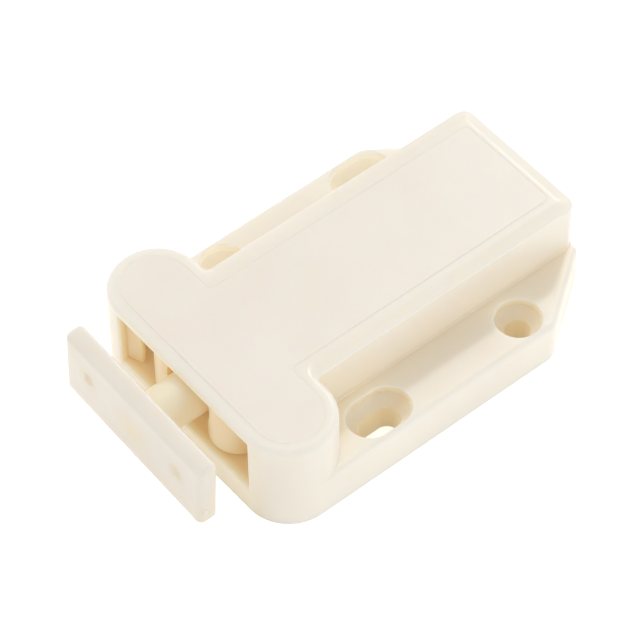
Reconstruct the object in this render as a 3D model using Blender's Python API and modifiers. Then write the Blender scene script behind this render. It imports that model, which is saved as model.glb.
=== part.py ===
"""Push-to-open door catch, latched, with its strike held in the jaws. Metres, +Z up from the mounting face.
The mouth opens towards -Y and the origin is the middle of the mounting face."""

import math

import bmesh
import bpy
from mathutils import Matrix, Vector

# Housing
BODY_LENGTH = 0.0602
BODY_WIDTH = 0.0418
BODY_HEIGHT = 0.0160
HEAD_DEPTH = 0.0136  # the wide front of the T, with half-round ends
TRUNK_WIDTH = 0.0236  # the narrow part of the T behind the head
TRUNK_CORNER = 0.0018
EDGE_ROUND = 0.0007
FLANGE_HEIGHT = 0.0073
FLANGE_ROUND = 0.0008
BACK_EDGE_WIDTH = 0.0252  # straight back edge of the flange, between its two chamfers
BACK_CHAMFER = 0.0116  # length of each chamfer along Y
CHAMFER_ROUND = 0.0030  # where a chamfer meets the side
FLANGE_LEAD = 0.0003  # the flange starts this far behind the middle of the head's round ends
BACK_STEP = 0.0002  # the trunk stands this far behind the flange
TEE_FILLET = 0.0008  # inner corner between head and trunk
HEAD_WALL = 0.0021
HEAD_ROOM_WIDTH = 0.0284  # the room that the jaws swing in
CAVITY_WIDTH = 0.0150
BACK_WALL = 0.0030
FLOOR = 0.0024
MOUTH_WIDTH = 0.0276
MOUTH_SILL = 0.0048  # height of the mouth's lower edge
MOUTH_HEIGHT = 0.0096
LIP_REACH = 0.0026  # the lips inside the mouth, from its sides inwards
LIP_FRONT = 0.0012  # a lip's face from the front, at the mouth's side and at its tip
LIP_TIP = 0.0022
LIP_BACK = 0.0051
LIP_RISE = 0.0001

# Cover plate, set into the top of the housing
COVER_THICKNESS = 0.0010
COVER_RIM_HEAD = 0.0018
COVER_RIM_TRUNK = 0.0031
COVER_RIM_BACK = 0.0025
COVER_SEAM = 0.00015
COVER_SEAT = 0.00015
LUG_SIZE = 0.0010
LUG_LENGTH = 0.0030
LUG_DEPTH = 0.0022
LUG_ROWS = (0.0235, 0.0440)  # from the front face

# Screw holes in the flange: round on one diagonal, slotted on the other
HOLE_OUTWARD = 0.00038  # from the middle of the flange beside the trunk
HOLE_SPACING_Y = 0.0250
HOLE_FROM_FRONT = 0.0203
SCREW_BORE = 0.0037
SINK_MOUTH = 0.0067
SINK_STRAIGHT = 0.0013
SLOT_STRETCH = 0.0030

# Motion
STROKE = 0.0090  # the plunger's way out from the latched place
OVERTRAVEL = 0.0015  # its way further in, when the door is pressed
JAW_OPEN = math.radians(28.0)
FOLLOWER_SWING = math.radians(5.0)
RUNNING_GAP = 0.0003
CAM_GAP = 0.0002

# Jaws and their pins
PIVOT_SPACING = 0.0104
PIVOT_FROM_FRONT = 0.0118
PIN_DIAMETER = 0.0020
PIN_CLEARANCE = 0.00015
PIN_SEAT = 0.0014
JAW_BOSS = 0.0042
JAW_GAP = 0.0048  # between the two hooks
NOSE_RADIUS = 0.0042
NOSE_SPACING = 0.0116
NOSE_FROM_FRONT = 0.0008
HOOK_LEAD = 0.0004  # from the hook's inner corner to the strike's head
SCOOP_GAP = 0.0011  # round the stem, where it enters between the noses
TAIL_LENGTH = 0.0040
TAIL_RADIUS = 0.00125
TAIL_INSET = 0.0006
PEG_DIAMETER = 0.0016
JAW_LOW = 0.0051
JAW_HIGH = 0.0139

# Springs
JAW_SPRING_DIAMETER = 0.0026
JAW_SPRING_WIRE = 0.00035
JAW_SPRING_TURNS = 4
JAW_SPRING_HEIGHT = 0.0085
SPRING_POCKET_DEPTH = 0.0032
MAIN_SPRING_DIAMETER = 0.0050
MAIN_SPRING_WIRE = 0.0006
MAIN_SPRING_TURNS = 12
MAIN_SPRING_HEIGHT = 0.0064
GUIDE_GAP = 0.0002  # between the spring's inner side and its guide pin
GUIDE_LENGTH = 0.0090
GUIDE_SEAT = 0.0012

# Plunger
WEDGE_LOW = 0.0027
WEDGE_HIGH = 0.0046
WEDGE_FRONT = 0.0125
WEDGE_NOSE_WIDTH = 0.0046
RAM_WIDTH = 0.0050
RAM_LENGTH = 0.0069
RAM_HIGH = 0.0134
CARRIAGE_FRONT = 0.0272
CARRIAGE_LENGTH = 0.0138
CARRIAGE_ROOF = 0.0008  # between the spring's bore and the track above it
SPRING_BORE_DEPTH = 0.0080
SPRING_BORE_GAP = 0.0003

# Cam follower: a wire that turns on a post at the back and rests in the plunger's track
FOLLOWER_WIRE = 0.0010
FOLLOWER_PIVOT_X = 0.0050
FOLLOWER_PIVOT_FROM_FRONT = 0.0500
FOLLOWER_TIP_X = 0.0012
FOLLOWER_TIP_FROM_FRONT = 0.0300
FOLLOWER_HEIGHT = 0.0124
FOLLOWER_BEND = 0.0012
POST_DIAMETER = 0.0036
POST_HIGH = 0.0112
POST_BORE_LOW = 0.0046
POST_BORE_GAP = 0.00025
TRACK_WIDTH = 0.0016
TRACK_DEPTH = 0.0012
TRACK_RETURN = 0.0034  # how far the return lane lies to the side of the exit lane
LEAF_LENGTH = 0.0120
LEAF_WIDTH = 0.0034
LEAF_THICKNESS = 0.0003
LEAF_FROM_FRONT = 0.0360
LEAF_PAD_LENGTH = 0.0040

# Strike
STRIKE_HEIGHT = 0.0108  # axis of the stem
PLATE_LENGTH = 0.0294
PLATE_HEIGHT = 0.0122
PLATE_THICKNESS = 0.0030
PLATE_GAP = 0.0056  # from the housing's front face to the back of the plate
PLATE_TILT = math.radians(3.0)
PLATE_CORNER = 0.0007
PLATE_EDGE = 0.0005
PIP_SPACING = 0.0190
PIP_RISE = 0.0011  # above the middle of the plate
PIP_DIAMETER = 0.0018
PIP_HEIGHT = 0.0005
STEM_DIAMETER = 0.0068
STEM_REACH = 0.0029  # how far the full diameter enters the mouth
NECK_DIAMETER = 0.0030
STRIKE_HEAD_DIAMETER = 0.0064
STRIKE_HEAD_FROM_FRONT = 0.0062
STRIKE_HEAD_LENGTH = 0.0032
STRIKE_HEAD_DOME = 0.0010
STRIKE_HEAD_GAP = 0.0005
SPIGOT_DIAMETER = 0.0036
SPIGOT_WALL = 0.0008  # what is left of the plate in front of its hole

# Facets of round shapes
ROUND_SEGMENTS = 24
SMALL_SEGMENTS = 16
CURL_POINTS = 10
OVERCUT = 0.0010  # how far a cutter runs past the face that it opens
SIDE_SHARE = 0.9  # most of a side that a corner's round may take

# Finishes: name, colour, roughness and metallic value
CREAM = ("cream_plastic", (0.84, 0.78, 0.68), 0.40, 0.0)
WARM_CREAM = ("warm_cream_plastic", (0.79, 0.69, 0.53), 0.40, 0.0)
WHITE = ("white_nylon", (0.87, 0.85, 0.80), 0.35, 0.0)
STEEL = ("steel", (0.55, 0.55, 0.56), 0.30, 1.0)
SPRING_STEEL = ("spring_steel", (0.45, 0.45, 0.47), 0.30, 1.0)

FRONT = -BODY_LENGTH / 2
BACK = BODY_LENGTH / 2
HALF_WIDTH = BODY_WIDTH / 2
HEAD_RADIUS = HEAD_DEPTH / 2
PIVOT_X = PIVOT_SPACING / 2
PIVOT_Y = FRONT + PIVOT_FROM_FRONT
COVER_LOW = BODY_HEIGHT - COVER_THICKNESS
LEDGE = COVER_LOW - COVER_SEAT
CAVITY_BACK = BACK - BACK_WALL
GUIDE_DIAMETER = MAIN_SPRING_DIAMETER - 2 * MAIN_SPRING_WIRE - 2 * GUIDE_GAP
SPRING_BORE = MAIN_SPRING_DIAMETER / 2 + SPRING_BORE_GAP
CARRIAGE_HIGH = MAIN_SPRING_HEIGHT + SPRING_BORE + CARRIAGE_ROOF + TRACK_DEPTH
JAW_PER_STROKE = JAW_OPEN / STROKE
FOLLOWER_PER_STROKE = FOLLOWER_SWING / STROKE


def clear_scene():
    for item in list(bpy.data.objects):
        bpy.data.objects.remove(item, do_unlink=True)


def new_collection(name):
    made = bpy.data.collections.new(name)
    bpy.context.scene.collection.children.link(made)
    return made


def arc(center, radius, start, end, steps):
    """Points of an arc in the XY plane, with angles in degrees."""
    points = []
    for step in range(steps + 1):
        angle = math.radians(start + (end - start) * step / steps)
        points.append((center[0] + radius * math.cos(angle), center[1] + radius * math.sin(angle)))
    return points


def rounded(points, at, radius, steps):
    """The outline with the corner at this index made round, as far as the sides beside it are long enough."""
    corner = Vector(points[at])
    first = Vector(points[at - 1]) - corner
    second = Vector(points[at + 1]) - corner
    half = first.angle(second) / 2
    reach = min(radius / math.tan(half), SIDE_SHARE * first.length, SIDE_SHARE * second.length)
    radius = reach * math.tan(half)
    first.normalize()
    second.normalize()
    center = corner + (first + second).normalized() * radius / math.sin(half)
    start = corner + first * reach - center
    sweep = start.angle_signed(corner + second * reach - center)
    made = []
    for step in range(steps + 1):
        angle = math.atan2(start.y, start.x) - sweep * step / steps
        made.append((center.x + radius * math.cos(angle), center.y + radius * math.sin(angle)))
    return points[:at] + made + points[at + 1 :]


def mirrored(points):
    return [(-x, y) for x, y in reversed(points)]


def evaluated(item, name):
    """A copy of the object's evaluated mesh, with the caps of a curve joined to its sides."""
    bpy.context.view_layer.update()
    graph = bpy.context.evaluated_depsgraph_get()
    mesh = bpy.data.meshes.new_from_object(item.evaluated_get(graph))
    mesh.name = name
    shape = bmesh.new()
    shape.from_mesh(mesh)
    bmesh.ops.remove_doubles(shape, verts=shape.verts, dist=1e-6)
    return shape


def prism(name, outline, low, high, place, edge_round=0.0, round_from=None):
    """A flat outline raised from low to high. edge_round rounds its upper edge, behind y = round_from if given."""
    curve = bpy.data.curves.new(name, "CURVE")
    curve.dimensions = "2D"
    curve.fill_mode = "BOTH"
    curve.extrude = (high - low) / 2
    spline = curve.splines.new("POLY")
    spline.points.add(len(outline) - 1)
    for point, (x, y) in zip(spline.points, outline):
        point.co = (x, y, 0.0, 1.0)
    spline.use_cyclic_u = True
    guide = bpy.data.objects.new(name + "_outline", curve)
    place.objects.link(guide)
    shape = evaluated(guide, name)
    bpy.data.objects.remove(guide, do_unlink=True)
    for vert in shape.verts:
        vert.co.z = high if vert.co.z > 0 else low
    bmesh.ops.dissolve_limit(shape, angle_limit=0.001, verts=shape.verts, edges=shape.edges)
    bmesh.ops.recalc_face_normals(shape, faces=shape.faces)
    if edge_round > 0:
        rim = [edge for edge in shape.edges if all(vert.co.z == edge.verts[0].co.z > low + edge_round for vert in edge.verts)]
        if round_from is not None:
            rim = [edge for edge in rim if max(vert.co.y for vert in edge.verts) > round_from + edge_round]
        bmesh.ops.bevel(shape, geom=rim, offset=edge_round, segments=3, profile=0.5, affect="EDGES")
    return object_from(shape, name, place)


def box(name, low, high, place):
    shape = bmesh.new()
    bmesh.ops.create_cube(shape, size=1.0)
    for vert in shape.verts:
        vert.co = [high[axis] if vert.co[axis] > 0 else low[axis] for axis in range(3)]
    return object_from(shape, name, place)


def rod(name, start, end, radius, place, end_radius=None, segments=SMALL_SEGMENTS):
    """A cylinder or cone from start to end."""
    start = Vector(start)
    way = Vector(end) - start
    shape = bmesh.new()
    bmesh.ops.create_cone(
        shape,
        cap_ends=True,
        segments=segments,
        radius1=radius,
        radius2=radius if end_radius is None else end_radius,
        depth=way.length,
    )
    turn = Vector((0.0, 0.0, 1.0)).rotation_difference(way).to_matrix().to_4x4()
    bmesh.ops.transform(shape, matrix=Matrix.Translation(start + way / 2) @ turn, verts=shape.verts)
    return object_from(shape, name, place)


def object_from(shape, name, place):
    mesh = bpy.data.meshes.new(name)
    shape.to_mesh(mesh)
    shape.free()
    item = bpy.data.objects.new(name, mesh)
    place.objects.link(item)
    return item


def combine(target, operation, others):
    for other in others:
        other.hide_render = True
        other.display_type = "WIRE"
        change = target.modifiers.new(other.name, "BOOLEAN")
        change.operation = operation
        change.solver = "EXACT"
        change.object = other


def cut(target, *others):
    combine(target, "DIFFERENCE", others)


def join(target, *others):
    combine(target, "UNION", others)


def turn_about(item, point):
    """Moves the object's origin to the point, without moving the object."""
    item.data.transform(Matrix.Translation(-Vector(point)))
    item.location = point


def finish(item, finish_of):
    """Gives the object its own material, from a name, colour, roughness and metallic value."""
    name, color, roughness, metallic = finish_of
    made = bpy.data.materials.new(f"{item.name}_{name}")
    made.use_nodes = True
    shader = made.node_tree.nodes["Principled BSDF"]
    shader.inputs["Base Color"].default_value = (*color, 1.0)
    shader.inputs["Roughness"].default_value = roughness
    shader.inputs["Metallic"].default_value = metallic
    item.data.materials.append(made)
    if item.type == "MESH":
        item.data.shade_smooth()
        item.data.set_sharp_from_angle(angle=math.radians(35))


def coil(name, start, end, diameter, wire, turns, place):
    """An open-ended compression spring between two points, and its least gap to itself, printed."""
    start = Vector(start)
    way = Vector(end) - start
    turn = Vector((0.0, 0.0, 1.0)).rotation_difference(way)
    radius = (diameter - wire) / 2
    length = way.length - wire
    count = turns * CURL_POINTS
    points = []
    for step in range(count + 1):
        angle = 2 * math.pi * step / CURL_POINTS
        along = wire / 2 + length * step / count
        points.append(start + turn @ Vector((radius * math.cos(angle), radius * math.sin(angle), along)))
    near = min(
        (first - second).length
        for index, first in enumerate(points)
        for second in points[index + CURL_POINTS // 2 + 1 :]
    )
    print(f"{name}: least gap to itself {1000 * (near - wire):.2f} mm")
    curve = bpy.data.curves.new(name, "CURVE")
    curve.dimensions = "3D"
    curve.bevel_depth = wire / 2
    curve.bevel_resolution = 1
    curve.use_fill_caps = True
    spline = curve.splines.new("POLY")
    spline.points.add(len(points) - 1)
    for target, point in zip(spline.points, points):
        target.co = (*point, 1.0)
    item = bpy.data.objects.new(name, curve)
    place.objects.link(item)
    return item


def tee_outline(inset, half_trunk, back, corner):
    """The T in plan: the head, and behind it the trunk with rounded back corners."""
    radius = HEAD_RADIUS - inset
    center = HALF_WIDTH - HEAD_RADIUS
    middle = FRONT + HEAD_RADIUS
    right = arc((center, middle), radius, -90, 90, ROUND_SEGMENTS)
    inner = len(right)
    right.append((half_trunk, middle + radius))
    right += arc((half_trunk - corner, back - corner), corner, 0, 90, 6)
    right = rounded(right, inner, TEE_FILLET, 4)
    return right + mirrored(right)


def flange_outline(start):
    back = BACK - BACK_STEP
    right = [
        (HALF_WIDTH, start),
        (HALF_WIDTH, back - BACK_CHAMFER),
        (BACK_EDGE_WIDTH / 2, back),
    ]
    right = rounded(right, 1, CHAMFER_ROUND, 5)
    return right + mirrored(right)


def turned(name, profile, place):
    """A profile of (radius, height) pairs, top to bottom, turned about Z."""
    shape = bmesh.new()
    ring = [shape.verts.new((radius, 0.0, height)) for radius, height in profile]
    for first, second in zip(ring, ring[1:]):
        shape.edges.new((first, second))
    item = object_from(shape, name, place)
    screw = item.modifiers.new("turned", "SCREW")
    screw.axis = "Z"
    screw.steps = ROUND_SEGMENTS
    screw.render_steps = ROUND_SEGMENTS
    screw.use_merge_vertices = True
    screw.merge_threshold = 1e-6
    screw.use_smooth_shade = True
    return item


def screw_holes(cutters):
    """Cutters for the four countersunk holes. A slot is a round hole whose halves are moved apart along Y."""
    sink_low = FLANGE_HEIGHT - SINK_STRAIGHT - (SINK_MOUTH - SCREW_BORE) / 2
    profile = [
        (0.0, FLANGE_HEIGHT + OVERCUT),
        (SINK_MOUTH / 2, FLANGE_HEIGHT + OVERCUT),
        (SINK_MOUTH / 2, FLANGE_HEIGHT - SINK_STRAIGHT),
        (SCREW_BORE / 2, sink_low),
        (SCREW_BORE / 2, -OVERCUT),
        (0.0, -OVERCUT),
    ]
    made = []
    for side in (-1, 1):
        for row in (0, 1):
            name = f"hole_{'left' if side < 0 else 'right'}_{'front' if row == 0 else 'back'}"
            guide = turned(name + "_profile", profile, cutters)
            shape = evaluated(guide, name)
            bpy.data.objects.remove(guide, do_unlink=True)
            half_step = Matrix.Rotation(math.pi / ROUND_SEGMENTS, 3, "Z")
            bmesh.ops.rotate(shape, cent=(0.0, 0.0, 0.0), matrix=half_step, verts=shape.verts)
            bmesh.ops.dissolve_limit(shape, angle_limit=0.001, verts=shape.verts, edges=shape.edges)
            bmesh.ops.recalc_face_normals(shape, faces=shape.faces)
            stretch = SLOT_STRETCH if (side > 0) == (row == 0) else 0.0
            for vert in shape.verts:
                vert.co.y += math.copysign(stretch / 2, vert.co.y)
            middle = (HALF_WIDTH + TRUNK_WIDTH / 2) / 2
            place = (side * (middle + HOLE_OUTWARD), FRONT + HOLE_FROM_FRONT + row * HOLE_SPACING_Y, 0.0)
            bmesh.ops.translate(shape, vec=place, verts=shape.verts)
            made.append(object_from(shape, name, cutters))
    return made


def lip_outline():
    """The right lip in plan: a thin wedge from the mouth's side, clear of the open jaw behind it."""
    side = MOUTH_WIDTH / 2
    lead = OVERCUT * (LIP_TIP - LIP_FRONT) / LIP_REACH
    return [
        (side + OVERCUT, FRONT + LIP_FRONT - lead),
        (side + OVERCUT, FRONT + LIP_BACK),
        (side - LIP_REACH, FRONT + LIP_TIP),
    ]


def build_housing(parts, cutters, plastic):
    housing = prism(
        "housing",
        tee_outline(0.0, TRUNK_WIDTH / 2, BACK, TRUNK_CORNER),
        0.0,
        BODY_HEIGHT,
        parts,
        edge_round=EDGE_ROUND,
    )
    start = FRONT + HEAD_RADIUS + FLANGE_LEAD
    flange = prism("flange", flange_outline(start), 0.0, FLANGE_HEIGHT, cutters, FLANGE_ROUND, round_from=start)
    join(housing, flange)
    above = BODY_HEIGHT + OVERCUT
    half_cavity = CAVITY_WIDTH / 2
    half_channel = half_wedge(-OVERTRAVEL) + RUNNING_GAP
    channel_front = FRONT + WEDGE_FRONT - STROKE - RUNNING_GAP
    room_front = PIVOT_Y - PIN_DIAMETER
    recess = tee_outline(COVER_RIM_HEAD, TRUNK_WIDTH / 2 - COVER_RIM_TRUNK, BACK - COVER_RIM_BACK, TRUNK_CORNER / 2)
    cut(
        housing,
        prism("cover_recess", recess, LEDGE, above, cutters),
        box(
            "head_room",
            (-HEAD_ROOM_WIDTH / 2, FRONT + HEAD_WALL, MOUTH_SILL),
            (HEAD_ROOM_WIDTH / 2, FRONT + HEAD_DEPTH - HEAD_WALL, above),
            cutters,
        ),
        box("trunk_room", (-half_cavity, room_front, FLOOR), (half_cavity, CAVITY_BACK, above), cutters),
        box(
            "channel",
            (-half_channel, channel_front, FLOOR + CAM_GAP / 2),
            (half_channel, room_front + OVERCUT, MOUTH_SILL + OVERCUT),
            cutters,
        ),
        box(
            "mouth",
            (-MOUTH_WIDTH / 2, FRONT - OVERCUT, MOUTH_SILL),
            (MOUTH_WIDTH / 2, FRONT + HEAD_WALL + OVERCUT, MOUTH_SILL + MOUTH_HEIGHT),
            cutters,
        ),
        *screw_holes(cutters),
    )
    for side in (-1, 1):
        x = side * PIVOT_X
        pocket = half_cavity + SPRING_POCKET_DEPTH
        label = "left" if side < 0 else "right"
        lip = lip_outline() if side > 0 else mirrored(lip_outline())
        join(housing, prism(f"lip_{label}", lip, MOUTH_SILL - OVERCUT, MOUTH_SILL + MOUTH_HEIGHT + LIP_RISE, cutters))
        cut(
            housing,
            rod(
                f"pin_seat_{label}",
                (x, PIVOT_Y, FLOOR - PIN_SEAT),
                (x, PIVOT_Y, MOUTH_SILL + OVERCUT),
                PIN_DIAMETER / 2 + PIN_CLEARANCE,
                cutters,
            ),
            rod(
                f"spring_pocket_{label}",
                (side * (half_cavity - OVERCUT), tail_y(), JAW_SPRING_HEIGHT),
                (side * pocket, tail_y(), JAW_SPRING_HEIGHT),
                JAW_SPRING_DIAMETER / 2 + RUNNING_GAP,
                cutters,
            ),
        )
    pivot = (FOLLOWER_PIVOT_X, FRONT + FOLLOWER_PIVOT_FROM_FRONT)
    post = rod("follower_post", (*pivot, FLOOR - OVERCUT), (*pivot, POST_HIGH), POST_DIAMETER / 2, cutters)
    join(housing, post)
    cut(
        housing,
        rod(
            "post_bore",
            (*pivot, POST_BORE_LOW),
            (*pivot, POST_HIGH + OVERCUT),
            FOLLOWER_WIRE / 2 + POST_BORE_GAP,
            cutters,
        ),
        rod(
            "guide_seat",
            (0.0, CAVITY_BACK - OVERCUT, MAIN_SPRING_HEIGHT),
            (0.0, CAVITY_BACK + GUIDE_SEAT, MAIN_SPRING_HEIGHT),
            GUIDE_DIAMETER / 2 + PIN_CLEARANCE,
            cutters,
        ),
    )
    finish(housing, plastic)
    return housing


def build_cover(parts, cutters, plastic):
    outline = tee_outline(
        COVER_RIM_HEAD + COVER_SEAM,
        TRUNK_WIDTH / 2 - COVER_RIM_TRUNK - COVER_SEAM,
        BACK - COVER_RIM_BACK - COVER_SEAM,
        TRUNK_CORNER / 2,
    )
    cover = prism("cover_plate", outline, COVER_LOW, BODY_HEIGHT, parts)
    inner = CAVITY_WIDTH / 2 - RUNNING_GAP
    top = COVER_LOW + COVER_THICKNESS / 2
    for side in (-1, 1):
        label = "left" if side < 0 else "right"
        x = side * PIVOT_X
        boss = rod(f"pin_boss_{label}", (x, PIVOT_Y, JAW_HIGH + RUNNING_GAP), (x, PIVOT_Y, top), JAW_BOSS / 2, cutters)
        join(cover, boss)
        seat = rod(
            f"pin_hole_{label}",
            (x, PIVOT_Y, JAW_HIGH - OVERCUT),
            (x, PIVOT_Y, COVER_LOW),
            PIN_DIAMETER / 2 + PIN_CLEARANCE,
            cutters,
        )
        cut(cover, seat)
        for row, place in enumerate(LUG_ROWS):
            near = sorted((side * (inner - LUG_SIZE), side * inner))
            lug = box(
                f"lug_{label}_{row}",
                (near[0], FRONT + place, COVER_LOW - LUG_DEPTH),
                (near[1], FRONT + place + LUG_LENGTH, top),
                cutters,
            )
            join(cover, lug)
    leaf_x = follower_x(LEAF_FROM_FRONT + LEAF_LENGTH / 2)
    pad_start = FRONT + LEAF_FROM_FRONT + LEAF_LENGTH - LEAF_PAD_LENGTH
    pad = box(
        "leaf_pad",
        (leaf_x - LEAF_WIDTH / 2, pad_start, leaf_low() + LEAF_THICKNESS + CAM_GAP),
        (leaf_x + LEAF_WIDTH / 2, pad_start + LEAF_PAD_LENGTH, top),
        cutters,
    )
    join(cover, pad)
    finish(cover, plastic)
    return cover


def tail_y():
    return PIVOT_Y + TAIL_LENGTH


def peg_place(stroke):
    """Where the right jaw's peg is, with the plunger this far out: x, and y on the plunger at rest."""
    angle = stroke * JAW_PER_STROKE
    x = PIVOT_X - TAIL_INSET * math.cos(angle) - TAIL_LENGTH * math.sin(angle)
    y = PIVOT_Y - TAIL_INSET * math.sin(angle) + TAIL_LENGTH * math.cos(angle)
    return x, y + stroke


def half_wedge(stroke):
    """Half the wedge's width where the pegs touch it at this stroke."""
    return peg_place(stroke)[0] - PEG_DIAMETER / 2 - CAM_GAP


def jaw_outline():
    """The right jaw in plan: round nose, hook, arm, boss round the pin, and tail."""
    hook = JAW_GAP / 2
    hook_back = FRONT + STRIKE_HEAD_FROM_FRONT - HOOK_LEAD
    nose = (NOSE_SPACING / 2, FRONT + NOSE_FROM_FRONT + NOSE_RADIUS)
    inner = STRIKE_HEAD_DIAMETER / 2 + STRIKE_HEAD_GAP
    pivot = (PIVOT_X, PIVOT_Y)
    tail = (PIVOT_X - TAIL_INSET, tail_y())
    boss = JAW_BOSS / 2
    meets_arm = 180 + math.degrees(math.acos((PIVOT_X - inner) / boss))
    leaves_hook = 180 + math.degrees(math.acos((nose[0] - hook) / NOSE_RADIUS))
    points = arc(nose, NOSE_RADIUS, leaves_hook, 360, ROUND_SEGMENTS // 2)
    points += arc(pivot, boss, -40, 25, 4)
    points += arc(tail, TAIL_RADIUS, 0, 180, SMALL_SEGMENTS // 2)
    points += arc(pivot, boss, 170, meets_arm, 3)
    points += [(inner, hook_back + inner - hook), (hook, hook_back)]
    return points


def build_jaws(parts, cutters, plastic, steel, spring_steel):
    outline = jaw_outline()
    for side in (-1, 1):
        label = "left" if side < 0 else "right"
        shape = outline if side > 0 else mirrored(outline)
        x = side * PIVOT_X
        jaw = prism(f"jaw_{label}", shape, JAW_LOW, JAW_HIGH, parts)
        peg_x = side * (PIVOT_X - TAIL_INSET)
        peg = rod(
            f"peg_{label}",
            (peg_x, tail_y(), WEDGE_LOW + CAM_GAP),
            (peg_x, tail_y(), JAW_LOW + OVERCUT),
            PEG_DIAMETER / 2,
            cutters,
        )
        bore = rod(
            f"jaw_bore_{label}",
            (x, PIVOT_Y, JAW_LOW - OVERCUT),
            (x, PIVOT_Y, JAW_HIGH + OVERCUT),
            PIN_DIAMETER / 2 + PIN_CLEARANCE,
            cutters,
        )
        scoop = rod(
            f"stem_scoop_{label}",
            (0.0, FRONT - OVERCUT, STRIKE_HEIGHT),
            (0.0, FRONT + STEM_REACH + OVERTRAVEL + RUNNING_GAP, STRIKE_HEIGHT),
            STEM_DIAMETER / 2 + SCOOP_GAP,
            cutters,
            segments=ROUND_SEGMENTS,
        )
        turn_about(jaw, (x, PIVOT_Y, 0.0))
        join(jaw, peg)
        cut(jaw, bore, scoop)
        finish(jaw, plastic)
        pin = rod(
            f"jaw_pin_{label}",
            (x, PIVOT_Y, FLOOR - PIN_SEAT + PIN_CLEARANCE),
            (x, PIVOT_Y, COVER_LOW - PIN_CLEARANCE),
            PIN_DIAMETER / 2,
            parts,
        )
        finish(pin, steel)
        tail_face = peg_x + side * TAIL_RADIUS
        pocket = side * (CAVITY_WIDTH / 2 + SPRING_POCKET_DEPTH - CAM_GAP)
        spring = coil(
            f"jaw_spring_{label}",
            (tail_face + side * CAM_GAP, tail_y(), JAW_SPRING_HEIGHT),
            (pocket, tail_y(), JAW_SPRING_HEIGHT),
            JAW_SPRING_DIAMETER,
            JAW_SPRING_WIRE,
            JAW_SPRING_TURNS,
            parts,
        )
        finish(spring, spring_steel)


def wedge_outline():
    """The plunger's low plate: a wedge between the jaws' pegs, which lets them in as it slides out."""
    right = [(WEDGE_NOSE_WIDTH / 2, FRONT + WEDGE_FRONT)]
    stations = 5
    for step in range(stations):
        stroke = -OVERTRAVEL + (STROKE + OVERTRAVEL) * step / (stations - 1)
        right.append((half_wedge(stroke), peg_place(stroke)[1]))
    right.append((half_wedge(STROKE), FRONT + CARRIAGE_FRONT + OVERCUT))
    return right + mirrored(right)


def track_point(stroke):
    """Where the follower's tip is on the plunger's top at this stroke."""
    pivot = Vector((FOLLOWER_PIVOT_X, FRONT + FOLLOWER_PIVOT_FROM_FRONT))
    tip = Vector((FOLLOWER_TIP_X, FRONT + FOLLOWER_TIP_FROM_FRONT))
    angle = stroke * FOLLOWER_PER_STROKE
    arm = tip - pivot
    turned = Vector((arm.x * math.cos(angle) - arm.y * math.sin(angle), arm.x * math.sin(angle) + arm.y * math.cos(angle)))
    return pivot.x + turned.x, pivot.y + turned.y + stroke


def lane(name, start, end, cutters):
    """A cutter for one straight lane of the track, with round ends."""
    way = Vector(end) - Vector(start)
    heading = math.degrees(math.atan2(way.y, way.x))
    half = TRACK_WIDTH / 2
    outline = arc(end, half, heading - 90, heading + 90, 6) + arc(start, half, heading + 90, heading + 270, 6)
    return prism(name, outline, CARRIAGE_HIGH - TRACK_DEPTH, CARRIAGE_HIGH + OVERCUT, cutters)


def build_plunger(parts, cutters, plastic):
    plunger = prism("plunger", wedge_outline(), WEDGE_LOW, WEDGE_HIGH, parts)
    ram_front = FRONT + STRIKE_HEAD_FROM_FRONT + STRIKE_HEAD_LENGTH + CAM_GAP
    half_ram = RAM_WIDTH / 2
    nose = arc((0.0, ram_front + half_ram), half_ram, 180, 360, SMALL_SEGMENTS)
    ram_outline = nose + [(half_ram, ram_front + RAM_LENGTH), (-half_ram, ram_front + RAM_LENGTH)]
    ram = prism("ram", ram_outline, MOUTH_SILL + RUNNING_GAP, RAM_HIGH, cutters)
    neck = box(
        "ram_root",
        (-half_ram, FRONT + WEDGE_FRONT + OVERCUT, WEDGE_LOW + OVERCUT),
        (half_ram, ram_front + RAM_LENGTH, MOUTH_SILL + OVERCUT),
        cutters,
    )
    carriage_front = FRONT + CARRIAGE_FRONT
    carriage_back = carriage_front + CARRIAGE_LENGTH
    half_carriage = CAVITY_WIDTH / 2 - RUNNING_GAP
    carriage = box(
        "carriage",
        (-half_carriage, carriage_front, WEDGE_LOW),
        (half_carriage, carriage_back, CARRIAGE_HIGH),
        cutters,
    )
    join(plunger, ram, neck, carriage)
    pressed = track_point(-OVERTRAVEL)
    out = track_point(STROKE)
    aside = (pressed[0] - TRACK_RETURN, (pressed[1] + out[1]) / 2)
    cut(
        plunger,
        rod(
            "spring_bore",
            (0.0, carriage_back - SPRING_BORE_DEPTH, MAIN_SPRING_HEIGHT),
            (0.0, carriage_back + OVERCUT, MAIN_SPRING_HEIGHT),
            SPRING_BORE,
            cutters,
            segments=ROUND_SEGMENTS,
        ),
        lane("exit_lane", pressed, out, cutters),
        lane("return_lane", out, aside, cutters),
        lane("catch_lane", aside, pressed, cutters),
    )
    turn_about(plunger, (0.0, FRONT, 0.0))
    finish(plunger, plastic)
    return carriage_back - SPRING_BORE_DEPTH


def build_main_spring(parts, bore_floor, steel, spring_steel):
    spring = coil(
        "main_spring",
        (0.0, bore_floor + CAM_GAP, MAIN_SPRING_HEIGHT),
        (0.0, CAVITY_BACK - CAM_GAP, MAIN_SPRING_HEIGHT),
        MAIN_SPRING_DIAMETER,
        MAIN_SPRING_WIRE,
        MAIN_SPRING_TURNS,
        parts,
    )
    finish(spring, spring_steel)
    guide = rod(
        "spring_guide",
        (0.0, CAVITY_BACK + GUIDE_SEAT - PIN_CLEARANCE, MAIN_SPRING_HEIGHT),
        (0.0, CAVITY_BACK - GUIDE_LENGTH, MAIN_SPRING_HEIGHT),
        GUIDE_DIAMETER / 2,
        parts,
    )
    finish(guide, steel)


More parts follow.
